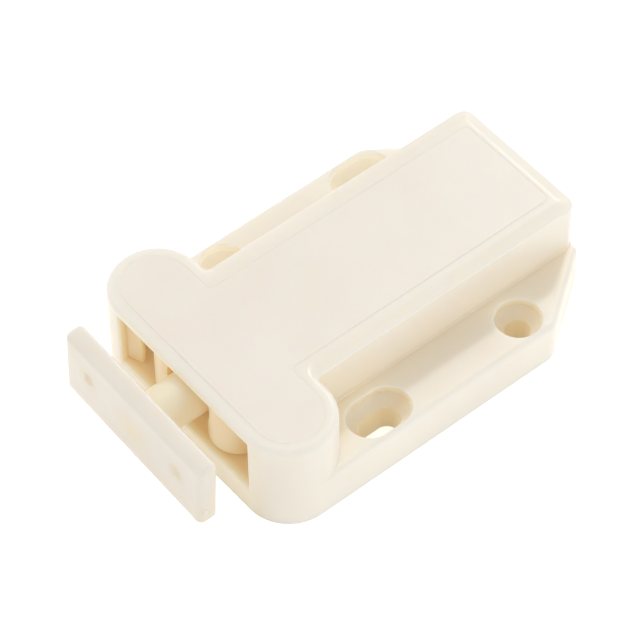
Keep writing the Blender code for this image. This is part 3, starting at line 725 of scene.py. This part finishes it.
def teeSides():
    # rings up the T: a round edge on the head; on the trunk a small edge and a shoulder that slopes up
    edge = housing["shoulderEdge"]
    wide = housing["shoulderWidth"]
    drop = housing["shoulderDrop"]
    lowered = top - drop
    slope = math.atan2(drop, wide)
    ease = 0.2  # share of its width over which the shoulder runs out into the top
    sag = 0.03 * wide * slope  # of that run-out, below a sharp corner
    head = roundedTop(top, housing["headEdge"], 6)
    trunk = []
    for step in range(4):
        angle = (math.pi / 2 - slope) * step / 3
        below = edge * (math.cos(slope) - math.sin(angle))
        trunk.append((edge * (1 - math.cos(angle)), lowered - below))
    trunk.append(((1 - ease) * wide, lowered + (1 - ease) * drop))
    trunk.append((wide, top - sag))
    trunk.append(((1 + ease) * wide, top))
    rings = [(pair,) * 3 for pair in softSides(0.0, 1.0, housing["footEdge"], 0.0)[:5]]
    for headPair, trunkPair in zip(head, trunk):
        rings.append((headPair, trunkPair, (housing["backShare"] * trunkPair[0], trunkPair[1])))
    return rings


def rootFillet():
    # a skirt round the walls, hollow in section, that runs out along the round ends and the back
    radius = housing["rootFillet"]
    base = housing["flangeHigh"]
    sunk = 0.02  # into the walls and the flange
    footing = 0.3  # below the flange's face
    middle = front + housing["headDepth"] / 2
    walls = teeCorners(0.0, housing["halfTrunk"], back, housing["trunkCorner"])
    right = [(housing["halfWidth"], middle, 0.0)] + walls[1:4]
    skirt = [(-radius, -footing)]
    for sine, cosine in quarterTurn(6):
        skirt.append((sunk - (radius + sunk) * (1 - sine), (radius + sunk) * (1 - cosine) - sunk))
    rings = [((inset, base + rise), (3 * sunk, base + rise)) for inset, rise in skirt]
    return prismShape(right + mirrored(right), rings, kinds=(1, 0, 0, 1, 0, 0, 1, 1), steps=12)


def holeCutter(stretch):
    bore = housing["bore"]
    mouth = housing["sinkMouth"]
    edge = housing["holeEdge"]
    face = housing["flangeHigh"]
    seatHigh = face - housing["sinkStraight"]
    seatLow = seatHigh - (mouth - bore)
    profile = [(bore + 2 * edge, -edge), (bore, edge), (bore, seatLow), (mouth, seatHigh)]
    profile += insetFrom(mouth, flaredSides(seatHigh, face, edge)[1:])
    return turnedShape(profile, 64, stretch)


def makeHousing():
    walls = teeCorners(0.0, housing["halfTrunk"], back, housing["trunkCorner"])
    tee = prismShape(walls, teeSides(), kinds=(0, 0, 1, 2, 1, 0, 0, 0), steps=12)
    flangeBack = back - housing["backStep"]
    right = [
        (housing["halfWidth"], front + housing["headDepth"] / 2 + housing["flangeLead"], 0.0),
        (housing["halfWidth"], flangeBack - housing["backChamfer"], housing["chamferRound"]),
        (housing["halfBackEdge"], flangeBack, housing["backCorner"]),
    ]
    flangeSides = softSides(0.0, housing["flangeHigh"], housing["footEdge"], housing["flangeEdge"])
    flangeRings = [((inset, height), (0.0, height)) for inset, height in flangeSides]
    recessSides = flaredSides(housing["ledge"], top, housing["recessEdge"], 3)
    wall = housing["headWall"]
    reach = housing["halfHeadRoom"]
    headRear = front + housing["headDepth"] - wall
    headRoom = boxCorners((-reach, front + wall), (reach, headRear), housing["headRoomCorner"])
    half = housing["halfCavity"]
    corner = housing["cavityCorner"]
    roomFront = pivotY - 2 * motion["pinRadius"]
    cavity = boxCorners((-half, roomFront), (half, cavityBack), corner)
    halfChannel = halfWedge(-motion["overtravel"]) + motion["runningGap"]
    channelFront = row(motion["wedgeRow"]) - motion["stroke"] - motion["runningGap"]
    channel = boxCorners((-halfChannel, channelFront), (halfChannel, roomFront + beyond), corner)
    sill = housing["mouthSill"]
    halfMouth = housing["halfMouth"]
    mouthHigh = housing["mouthHigh"]
    mouth = boxCorners((-halfMouth, sill), (halfMouth, mouthHigh), housing["mouthCorner"])
    mouthSides = flaredSides(-front - wall - beyond, -front, housing["mouthEdge"])
    floor = housing["floor"]
    above = top + beyond
    channelSides = [(0.0, floor + motion["camGap"] / 2), (0.0, sill + beyond)]
    changes = [
        ("UNION", prismShape(right + mirrored(right), flangeRings, kinds=(0, 0, 0, 0, 0, 1))),
        ("UNION", rootFillet()),
        ("DIFFERENCE", prismShape(coverCorners(0.0), recessSides, steps=12)),
        ("DIFFERENCE", prismShape(headRoom, [(0.0, sill), (0.0, above)], steps=12)),
        ("DIFFERENCE", prismShape(cavity, [(0.0, floor), (0.0, above)], steps=3)),
        ("DIFFERENCE", prismShape(channel, channelSides, steps=3)),
        ("DIFFERENCE", placed(prismShape(mouth, mouthSides, steps=5), facingFront)),
    ]
    lead = beyond * (housing["lipTipRow"] - housing["lipRow"]) / housing["lipReach"]
    rightLip = [
        (halfMouth + beyond, row(housing["lipRow"]) - lead, 0.0),
        (halfMouth + beyond, row(housing["lipBackRow"]), 0.0),
        (halfMouth - housing["lipReach"], row(housing["lipTipRow"]), housing["lipTip"]),
    ]
    lipSides = [(0.0, sill - beyond), (0.0, mouthHigh + housing["lipRise"])]
    for side in (-1, 1):
        for index, holeRow in enumerate(housing["holeRows"]):
            slotted = (side > 0) == (index == 0)
            hole = holeCutter(housing["slotStretch"] if slotted else 0.0)
            changes.append(("DIFFERENCE", placed(hole, at(side * housing["holeX"], row(holeRow)))))
        lip = rightLip if side > 0 else mirrored(rightLip)
        seat = rodShape(pinHole, floor - housing["pinSeat"], sill + beyond)
        pocket = rodShape(housing["pocketRadius"], half - beyond, half + housing["pocketDepth"], 40)
        pocketAt = at(0.0, tailY, housing["springHeight"]) @ facingOut(side)
        changes += [
            ("UNION", prismShape(lip, lipSides, steps=6)),
            ("DIFFERENCE", placed(seat, at(side * pivotX, pivotY))),
            ("DIFFERENCE", placed(pocket, pocketAt)),
        ]
    postAt = at(housing["postX"], row(housing["postRow"]))
    postHigh = housing["postHigh"]
    post = rodShape(housing["postRadius"], floor - beyond, postHigh, 40, highEdge=housing["postEdge"])
    bore = rodShape(housing["postBore"], housing["postBoreLow"], postHigh + beyond)
    guideHole = housing["guideRadius"] + motion["pinClearance"]
    guideSeat = rodShape(guideHole, cavityBack - beyond, cavityBack + housing["guideSeat"], 40)
    changes += [
        ("UNION", placed(post, postAt)),
        ("DIFFERENCE", placed(bore, postAt)),
        ("DIFFERENCE", placed(guideSeat, guideAxis)),
    ]
    addPiece("catchHousing", worked(tee, changes), creamAbs, "housing", "housing")


makeHousing()
print("housing made")

cover = {
    "low": 15.0,
    "high": 16.01,  # stands a little proud of the rim round it
    "edge": 0.03,
    "underEdge": 0.05,
    "seam": 0.015,
    "bossRadius": 2.1,
    "bossLow": 14.2,
    "bossEdge": 0.15,
    "lugRows": (23.5, 44.0),
    "lugLength": 3.0,
    "lugInner": 6.2,
    "lugOuter": 7.2,
    "lugLow": 12.8,
    "lugEdge": 0.2,
    "padLow": 13.6,
    "padX": (1.78, 5.18),
    "padRows": (44.0, 48.0),
    "padCorner": 0.3,
    "padEdge": 0.15,
}


def makeCover():
    sides = softSides(cover["low"], cover["high"], cover["underEdge"], cover["edge"], 5)
    plate = prismShape(coverCorners(cover["seam"]), sides, steps=12)
    middle = (cover["low"] + top) / 2
    lugSides = softSides(cover["lugLow"], middle, cover["lugEdge"], 0.0, 3)
    changes = []
    for side in (-1, 1):
        where = at(side * pivotX, pivotY)
        boss = rodShape(cover["bossRadius"], cover["bossLow"], middle, 40, lowEdge=cover["bossEdge"])
        hole = rodShape(pinHole, cover["bossLow"] - beyond, cover["low"])
        changes += [("UNION", placed(boss, where)), ("DIFFERENCE", placed(hole, where))]
        near, far = sorted((side * cover["lugInner"], side * cover["lugOuter"]))
        for lugRow in cover["lugRows"]:
            lugFront = row(lugRow)
            lug = boxCorners((near, lugFront), (far, lugFront + cover["lugLength"]), cover["lugEdge"])
            changes.append(("UNION", prismShape(lug, lugSides, steps=3)))
    padX = cover["padX"]
    padRows = cover["padRows"]
    pad = boxCorners((padX[0], row(padRows[0])), (padX[1], row(padRows[1])), cover["padCorner"])
    padSides = softSides(cover["padLow"], middle, cover["padEdge"], 0.0, 3)
    changes.append(("UNION", prismShape(pad, padSides, steps=3)))
    shape = worked(plate, changes)
    letsLightIn(addPiece("coverPlate", shape, coverAbs, "cover_plate", "housing"))


makeCover()
print("cover made")

strike = {
    "height": 10.8,
    "plateGap": 5.6,
    "plateThick": 3.0,
    "halfLength": 14.7,
    "halfHeight": 6.1,
    "corner": 0.9,
    "frontEdge": 1.0,
    "backEdge": 0.6,
    "endEdge": 1.1,
    "tilt": math.radians(3.0),
    "pipX": 9.5,
    "pipRise": 1.1,
    "pipRadius": 1.35,
    "pipHigh": 0.42,
    "gateAt": (14.6, -3.1, -0.9),
    "gateRadius": 0.45,
    "gateHigh": 0.3,
    "gateTurn": math.radians(80.0),  # how far up the nub's dome its small flat begins
    "stemRadius": 3.4,
    "stemReach": 2.9,
    "stemEdge": 0.2,
    "stemRound": 0.5,
    "neckRadius": 1.5,
    "neckFillet": 0.1,
    "headRadius": 3.2,
    "headRow": 6.2,
    "headLength": 3.2,
    "headEdge": 0.15,
    "headDome": 1.0,
    "spigotRadius": 1.8,
    "spigotWall": 0.8,
    "stemGlowPatch": 4.6,
    "pipGlowPatch": 2.6,
    "glowPatchColour": "E7DBC2",
}
jaw = {
    "low": 5.1,
    "high": 13.9,
    "edge": 0.3,
    "bossRadius": 2.1,
    "halfGap": 2.4,  # between the hooks
    "noseRadius": 4.2,
    "noseX": 5.8,
    "noseRow": 5.0,
    "hookRow": 5.8,
    "scoopGap": 0.95,  # round the stem, where it enters between the noses
    "scoopFlare": 0.3,
    "armInner": 3.7,
    "tailRadius": 1.25,
    "pegLow": 2.9,
    "pegEdge": 0.15,
}


def makeJaws():
    nose = (jaw["noseX"], row(jaw["noseRow"]))
    noseRadius = jaw["noseRadius"]
    halfGap = jaw["halfGap"]
    armInner = jaw["armInner"]
    hook = row(jaw["hookRow"])
    pivot = (pivotX, pivotY)
    boss = jaw["bossRadius"]
    leavesHook = 180 + math.degrees(math.acos((nose[0] - halfGap) / noseRadius))
    meetsArm = 180 + math.degrees(math.acos((pivotX - armInner) / boss))
    right = arcPoints(nose, noseRadius, leavesHook, 360, 40)
    right += arcPoints(pivot, boss, -40, 25, 8)
    right += arcPoints((tailX, tailY), jaw["tailRadius"], 0, 180, 16)
    right += arcPoints(pivot, boss, 170, meetsArm, 5)
    right += [(armInner, hook + armInner - halfGap, 0.0), (halfGap, hook, 0.0)]
    jawSides = softSides(jaw["low"], jaw["high"], jaw["edge"], jaw["edge"])
    pegHigh = jaw["low"] + beyond
    scoopRadius = strike["stemRadius"] + jaw["scoopGap"]
    scoopEnd = strike["stemReach"] + motion["overtravel"] + motion["runningGap"]
    scoopProfile = [(scoopRadius + jaw["scoopFlare"], -beyond), (scoopRadius, scoopEnd)]
    scoopAt = at(0.0, front, strike["height"]) @ facingBack
    for side, label in bothSides:
        blank = prismShape(right if side > 0 else mirrored(right), jawSides, steps=0)
        peg = rodShape(motion["pegRadius"], jaw["pegLow"], pegHigh, lowEdge=jaw["pegEdge"])
        bore = rodShape(pinHole, jaw["low"] - beyond, jaw["high"] + beyond)
        changes = [
            ("UNION", placed(peg, at(side * tailX, tailY))),
            ("DIFFERENCE", placed(bore, at(side * pivotX, pivotY))),
            ("DIFFERENCE", placed(turnedShape(scoopProfile, 64), scoopAt)),
        ]
        node = "jaw_" + label.lower()
        addPiece("hookJaw" + label, worked(blank, changes), naturalAcetal, node, node)


makeJaws()
print("jaws made")

pins = {"low": 1.15, "high": 14.85, "chamfer": 0.25, "guideLength": 9.0, "guideLead": 0.5}


def makePins():
    chamfer = pins["chamfer"]
    for side, label in bothSides:
        pin = rodShape(motion["pinRadius"], pins["low"], pins["high"], 40, chamfer, chamfer)
        placed(pin, at(side * pivotX, pivotY))
        addPiece("jawPin" + label, pin, turnedSteel, "jaw_pin_" + label.lower(), "housing")
    low = cavityBack - pins["guideLength"]
    high = cavityBack + housing["guideSeat"] - motion["pinClearance"]
    guide = rodShape(housing["guideRadius"], low, high, 48, pins["guideLead"], chamfer)
    placed(guide, guideAxis)
    addPiece("springGuide", guide, turnedSteel, "spring_guide", "housing")


makePins()
print("pins made")

plunger = {
    "wedgeLow": 2.7,
    "wedgeHigh": 4.6,
    "wedgeEdge": 0.15,
    "halfWedgeNose": 2.3,
    "halfRam": 2.5,
    "ramRow": 9.6,
    "ramLength": 6.9,
    "ramLow": 5.1,
    "ramHigh": 13.4,
    "ramUnderEdge": 0.1,
    "rootInset": 0.02,
    "carriageRow": 27.2,
    "carriageLength": 13.8,
    "carriageHigh": 11.2,
    "halfCarriage": 7.2,
    "corner": 0.5,
    "edge": 0.3,
    "boreDepth": 8.0,
    "boreRadius": 2.8,
    "boreEdge": 0.25,
    "trackWidth": 1.6,
    "trackDepth": 1.2,
    "trackEdge": 0.12,
    "trackReturn": 3.4,
}
follower = {
    "pivotX": housing["postX"],
    "pivotRow": housing["postRow"],
    "tipX": 1.2,
    "tipRow": 30.0,
    "height": 12.4,
    "wireRadius": 0.5,
    "bend": 1.2,
    "low": 4.85,
    "leafRow": 36.0,
    "leafLength": 12.0,
    "leafWidth": 3.4,
    "leafLow": 13.1,
    "leafThick": 0.3,
    "leafCorner": 0.6,
    "leafEdge": 0.06,
}
boreFloor = row(plunger["carriageRow"] + plunger["carriageLength"] - plunger["boreDepth"])


def trackPoint(stroke):
    # where the follower's tip stands on the plunger's top, with the plunger this far out
    pivot = Vector((follower["pivotX"], row(follower["pivotRow"])))
    arm = Vector((follower["tipX"], row(follower["tipRow"]))) - pivot
    arm.rotate(Matrix.Rotation(stroke * motion["followerSwing"] / motion["stroke"], 2))
    return pivot + arm + Vector((0.0, stroke))


def trackLane(start, end):
    way = end - start
    heading = math.degrees(math.atan2(way.y, way.x))
    half = plunger["trackWidth"] / 2
    outline = arcPoints(end, half, heading - 90, heading + 90, 12)
    outline += arcPoints(start, half, heading + 90, heading + 270, 12)
    high = plunger["carriageHigh"]
    laneSides = flaredSides(high - plunger["trackDepth"], high, plunger["trackEdge"], 3)
    return prismShape(outline, laneSides, steps=0)


def makePlunger():
    low = plunger["wedgeLow"]
    edge = plunger["edge"]
    wedgeFront = row(motion["wedgeRow"])
    wedgeEdge = plunger["wedgeEdge"]
    carriageFront = row(plunger["carriageRow"])
    carriageBack = carriageFront + plunger["carriageLength"]
    right = [(plunger["halfWedgeNose"], wedgeFront, 0.0)]
    stations = 12
    whole = motion["stroke"] + motion["overtravel"]
    for step in range(stations + 1):
        stroke = whole * step / stations - motion["overtravel"]
        right.append((halfWedge(stroke), pegPlace(stroke)[1], 0.0))
    right.append((halfWedge(motion["stroke"]), carriageFront + beyond, 0.0))
    wedgeSides = softSides(low, plunger["wedgeHigh"], wedgeEdge, wedgeEdge, 3)
    wedge = prismShape(right + mirrored(right), wedgeSides, steps=0)
    half = plunger["halfRam"]
    ramLow = plunger["ramLow"]
    ramFront = row(plunger["ramRow"])
    ramBack = ramFront + plunger["ramLength"]
    ram = arcPoints((0.0, ramFront + half), half, 180, 360, 32)
    ram += [(half, ramBack, 0.0), (-half, ramBack, 0.0)]
    ramSides = softSides(ramLow, plunger["ramHigh"], plunger["ramUnderEdge"], edge)
    root = boxCorners((-half, wedgeFront + beyond), (half, ramBack), 0.0)
    rootSides = [(plunger["rootInset"], height + beyond) for height in (low, ramLow)]
    wide = plunger["halfCarriage"]
    carriage = boxCorners((-wide, carriageFront), (wide, carriageBack), plunger["corner"])
    carriageSides = softSides(low, plunger["carriageHigh"], edge, edge)
    flared = flaredSides(boreFloor, carriageBack, plunger["boreEdge"])
    bore = turnedShape(insetFrom(plunger["boreRadius"], flared), 48)
    pressed = trackPoint(-motion["overtravel"])
    out = trackPoint(motion["stroke"])
    aside = Vector((pressed.x - plunger["trackReturn"], (pressed.y + out.y) / 2))
    changes = [
        ("UNION", prismShape(carriage, carriageSides, steps=6)),
        ("UNION", prismShape(ram, ramSides, steps=0)),
        ("UNION", prismShape(root, rootSides, steps=0)),
        ("DIFFERENCE", placed(bore, guideAxis)),
        ("DIFFERENCE", trackLane(pressed, out)),
        ("DIFFERENCE", trackLane(out, aside)),
        ("DIFFERENCE", trackLane(aside, pressed)),
    ]
    shape = worked(wedge, changes)
    addPiece("slidePlunger", shape, naturalAcetal, "plunger", "plunger")


makePlunger()
print("plunger made")

springs = {
    "mainRadius": 2.2,
    "mainWire": 0.6,
    "mainTurns": 12,
    "jawRadius": 1.125,
    "jawWire": 0.35,
    "jawTurns": 4,
    "jawPocketX": 10.5,
    "closeTurns": 0.9,  # at each end
    "closePitch": 1.04,  # times the wire's thickness
    "pointsPerTurn": 28,
    "wireSides": 12,
}


def coilShape(length, radius, wire, turns):
    # a coil along Z whose end turns lie close, as they do on a cut compression spring
    perTurn = springs["pointsPerTurn"]
    closeTurns = springs["closeTurns"]
    closePitch = springs["closePitch"] * wire
    openPitch = (length - wire - 2 * closeTurns * closePitch) / (turns - 2 * closeTurns)
    path = []
    height = wire / 2
    for step in range(turns * perTurn + 1):
        turn = step / perTurn
        angle = 2 * math.pi * turn
        path.append(Vector((radius * math.cos(angle), radius * math.sin(angle), height)))
        close = turn < closeTurns or turn >= turns - closeTurns
        height += (closePitch if close else openPitch) / perTurn
    return tubeShape(path, wire / 2, springs["wireSides"])


def makeSprings():
    gap = motion["camGap"]
    low = boreFloor + gap
    high = cavityBack - gap
    shape = coilShape(high - low, springs["mainRadius"], springs["mainWire"], springs["mainTurns"])
    placed(shape, at(0.0, low, housing["guideHeight"]) @ facingBack)
    main = addPiece("mainSpring", shape, springWire, "main_spring")
    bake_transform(main)
    near = tailX + jaw["tailRadius"] + gap
    far = springs["jawPocketX"]
    for side, label in bothSides:
        shape = coilShape(far - near, springs["jawRadius"], springs["jawWire"], springs["jawTurns"])
        placed(shape, at(side * near, tailY, housing["springHeight"]) @ facingOut(side))
        node = label.lower()
        spring = addPiece("jawSpring" + label, shape, springWire, "jaw_spring_" + node)
        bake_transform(spring)


makeSprings()
print("springs made")


def makeFollower():
    pivot = Vector((follower["pivotX"], row(follower["pivotRow"]), 0.0))
    tip = Vector((follower["tipX"], row(follower["tipRow"]), 0.0))
    heading = (tip - pivot).normalized()
    upward = Vector((0.0, 0.0, 1.0))
    bend = follower["bend"]
    rise = follower["height"] - bend
    path = [pivot + upward * follower["low"]]
    for sine, cosine in quarterTurn(10):
        path.append(pivot + heading * bend * (1 - cosine) + upward * (rise + bend * sine))
    for sine, cosine in quarterTurn(10):
        path.append(tip - heading * bend * (1 - sine) + upward * (rise + bend * cosine))
    trackFloor = plunger["carriageHigh"] - plunger["trackDepth"]
    path.append(tip + upward * (trackFloor + motion["runningGap"]))
    wire = tubeShape(path, follower["wireRadius"], 20)
    addPiece("camFollower", wire, turnedSteel, "cam_follower", "cam_follower")
    leafFront = follower["leafRow"]
    leafBack = leafFront + follower["leafLength"]
    fromTip = (leafFront + leafBack) / 2 - follower["tipRow"]
    share = fromTip / (follower["pivotRow"] - follower["tipRow"])
    leafX = follower["tipX"] + share * (follower["pivotX"] - follower["tipX"])
    half = follower["leafWidth"] / 2
    near = (leafX - half, row(leafFront))
    far = (leafX + half, row(leafBack))
    corners = boxCorners(near, far, follower["leafCorner"])
    low = follower["leafLow"]
    edge = follower["leafEdge"]
    leaf = prismShape(corners, softSides(low, low + follower["leafThick"], edge, edge, 2), steps=6)
    addPiece("followerLeaf", leaf, rolledStrip, "follower_leaf", "housing")


makeFollower()
print("follower made")


def makeStrikePlate():
    thick = strike["plateThick"]
    half = (strike["halfLength"], strike["halfHeight"])
    corners = boxCorners((-half[0], -half[1]), half, strike["corner"])
    longSides = softSides(-thick, 0.0, strike["backEdge"], strike["frontEdge"], 6)
    ends = softSides(-thick, 0.0, strike["backEdge"], strike["endEdge"], 6)
    plate = prismShape(corners, list(zip(longSides, ends)), kinds=(0, 1, 0, 1))
    radius = strike["pipRadius"]
    footing = 0.2  # below the plate's face
    sunk = 0.01  # so that the pip's rim runs into the face
    dome = [(radius, -footing)]
    for step in range(12):
        share = 1 - step / 12
        dome.append((radius * share, strike["pipHigh"] * (1 + math.cos(math.pi * share)) / 2 - sunk))
    gate = []
    for step in range(6):
        angle = strike["gateTurn"] * step / 5
        gate.append((strike["gateRadius"] * math.cos(angle), strike["gateHigh"] * math.sin(angle)))
    pips = [(side * strike["pipX"], strike["pipRise"], 0.0) for side in (-1, 1)]
    changes = [("UNION", placed(turnedShape(dome, 32), at(*pip))) for pip in pips]
    holeRadius = strike["spigotRadius"] + motion["pinClearance"]
    hole = rodShape(holeRadius, -thick - beyond, -strike["spigotWall"], 48)
    changes.append(("DIFFERENCE", hole))
    changes.append(("UNION", placed(turnedShape(gate, 24), at(*strike["gateAt"]) @ facingOut(1))))
    tilted = Matrix.Rotation(strike["tilt"], 4, "Y") @ facingFront
    standing = at(0.0, front - strike["plateGap"] - thick, strike["height"]) @ tilted
    shape = placed(worked(plate, changes), standing)
    # painted glow: warm patches on the plate over the stem and the two pips
    patches = [(standing.translation, strike["stemGlowPatch"])]
    patches += [(standing @ Vector(pip), strike["pipGlowPatch"]) for pip in pips]
    addPaintedGlowPatches(whiteNylon, patches, strike["glowPatchColour"])
    node = "strike_plate"
    letsLightIn(addPiece("strikePlate", shape, whiteNylon, node, node))


def makeStrikeStem():
    stem = strike["stemRadius"]
    neck = strike["neckRadius"]
    wide = strike["headRadius"]
    spigot = strike["spigotRadius"]
    reach = strike["stemReach"]
    headLow = strike["headRow"]
    headHigh = headLow + strike["headLength"]
    headWide = headLow + wide - neck  # where the head's cone reaches its full width
    edge = strike["stemEdge"]
    fillet = strike["neckFillet"]
    rim = strike["headEdge"]
    shoulder = motion["pinClearance"] - strike["plateGap"]
    tip = shoulder - strike["plateThick"] + strike["spigotWall"]
    profile = [(spigot - edge, tip), (spigot, tip + edge), (spigot, shoulder)]
    profile += [(stem - edge, shoulder), (stem, shoulder + edge)]
    profile += insetFrom(stem, roundedTop(reach, strike["stemRound"], 5))
    profile += [(neck + edge, reach), (neck, reach + edge)]
    profile += [(neck, headLow - fillet), (neck + fillet, headLow + fillet)]
    profile += [(wide - rim, headWide - rim), (wide, headWide + rim)]
    profile += insetFrom(wide, roundedTop(headHigh, strike["headDome"], 5))
    shape = placed(turnedShape(profile, 64), at(0.0, front, strike["height"]) @ facingBack)
    addPiece("strikeStem", shape, stemPaintedNylon, "strike_stem", "strike_stem")


makeStrikePlate()
makeStrikeStem()
print("strike made")

studio = {
    "floorSize": 1500.0,
    "floorCorner": 20.0,
    "floorLow": -3.0,
    "floorHigh": -0.02,
    "floorColour": "FAFAF9",
    "floorGlow": 0.6,  # only in what the camera, gloss and glass see
    "skyLevel": 0.55,  # overhead
    "sideLevel": 1.0,  # at the horizon, as from large panels all round
    "skyColour": "FFFFFF",
    "keyWay": (4.7, -7.0, -8.5),
    "keyLevel": 0.58,
    "keySize": math.radians(6.0),
    "panelWay": (-7.9, -3.9, -1.9),
    "panelLevel": 0.27,
    "panelSize": math.radians(14.0),
    "fillWay": (5.0, 4.0, -5.5),
    "fillLevel": 0.28,
    "fillSize": math.radians(30.0),
    "focal": 196.875,
    "sensor": 36.0,
    "azimuth": math.radians(51.068),
    "elevation": math.radians(51.894),
    "roll": math.radians(-0.706),
    "target": (0.0, -0.1, 8.0),
    "aside": -4.744,
    "above": -3.105,
    "away": 481.602,
}


def seenShare(tree):
    # 1 for rays from the camera and for those by gloss or glass
    path = addNode(tree, "LightPath").outputs
    share = path["Is Camera Ray"]
    for kind in ("Is Glossy Ray", "Is Transmission Ray"):
        both = {0: share, 1: path[kind]}
        share = addNode(tree, "Math", None, both, operation="ADD", use_clamp=True).outputs[0]
    return share


def makeFloor():
    half = studio["floorSize"] / 2
    corners = boxCorners((-half, -half), (half, half), studio["floorCorner"])
    shape = prismShape(corners, [(0.0, studio["floorLow"]), (0.0, studio["floorHigh"])], steps=4)
    floor = meshObject("studioFloor", placed(shape, Matrix.Scale(mm, 4)))
    # paper sweep, matt: even and nearly white
    paper, tree, shader = startMaterial("mattPaperSweep")
    shader.inputs["Base Color"].default_value = hexColour(studio["floorColour"])
    shader.inputs["Roughness"].default_value = 0.9
    shader.inputs["Specular IOR Level"].default_value = 0.1
    shader.inputs["Emission Color"].default_value = hexColour(studio["skyColour"])
    glow = addNode(tree, "Math", {1: studio["floorGlow"]}, {0: seenShare(tree)}, operation="MULTIPLY")
    tree.links.new(glow.outputs[0], shader.inputs["Emission Strength"])
    floor.data.materials.append(paper)


def makeSky():
    sky = bpy.data.worlds.new("softStudio")
    scene.world = sky
    sky.use_nodes = True
    tree = sky.node_tree
    tree.nodes.clear()
    place = addNode(tree, "TexCoord").outputs["Generated"]
    height = addNode(tree, "SeparateXYZ", None, {0: place}).outputs["Z"]
    levels = {"To Min": studio["sideLevel"], "To Max": studio["skyLevel"]}
    level = addNode(tree, "MapRange", levels, {"Value": height}).outputs[0]
    colour = hexColour(studio["skyColour"])
    lit = addNode(tree, "Background", {"Color": colour}, {"Strength": level}).outputs[0]
    white = addNode(tree, "Background", {"Color": (1.0, 1.0, 1.0, 1.0), "Strength": 1.0}).outputs[0]
    mixed = addNode(tree, "MixShader", None, {0: seenShare(tree), 1: lit, 2: white})
    addNode(tree, "OutputWorld", None, {"Surface": mixed.outputs[0]})


def makeLamps():
    # the key, a low panel from the other side that draws the light line along edges, and a soft fill
    downward = Vector((0.0, 0.0, -1.0))
    for name, kind in (("windowKey", "key"), ("sidePanel", "panel"), ("frontFill", "fill")):
        lamp = bpy.data.lights.new(name, "SUN")
        lamp.energy = studio[kind + "Level"]
        lamp.angle = studio[kind + "Size"]
        light = bpy.data.objects.new(name, lamp)
        light.rotation_mode = "QUATERNION"
        light.rotation_quaternion = downward.rotation_difference(Vector(studio[kind + "Way"]))
        scene.collection.objects.link(light)


def makeCamera():
    azimuth = studio["azimuth"]
    elevation = studio["elevation"]
    roll = studio["roll"]
    flat = math.cos(elevation)
    backward = Vector((flat * math.sin(azimuth), -flat * math.cos(azimuth), math.sin(elevation)))
    sideways = Vector((math.cos(azimuth), math.sin(azimuth), 0.0))
    upright = backward.cross(sideways)
    right = sideways * math.cos(roll) + upright * math.sin(roll)
    upward = upright * math.cos(roll) - sideways * math.sin(roll)
    place = Vector(studio["target"]) + right * studio["aside"]
    place += upward * studio["above"]
    place += backward * studio["away"]
    view = bpy.data.cameras.new("photoView")
    view.lens = studio["focal"]
    view.sensor_width = studio["sensor"]
    view.clip_start = 0.01
    camera = bpy.data.objects.new("photoView", view)
    pose = Matrix((right, upward, backward)).transposed().to_4x4()
    pose.translation = place * mm
    camera.matrix_world = pose
    scene.collection.objects.link(camera)
    scene.camera = camera


scene.view_settings.view_transform = "Standard"
makeFloor()
makeSky()
makeLamps()
makeCamera()
print("studio made")

bpy.context.view_layer.update()
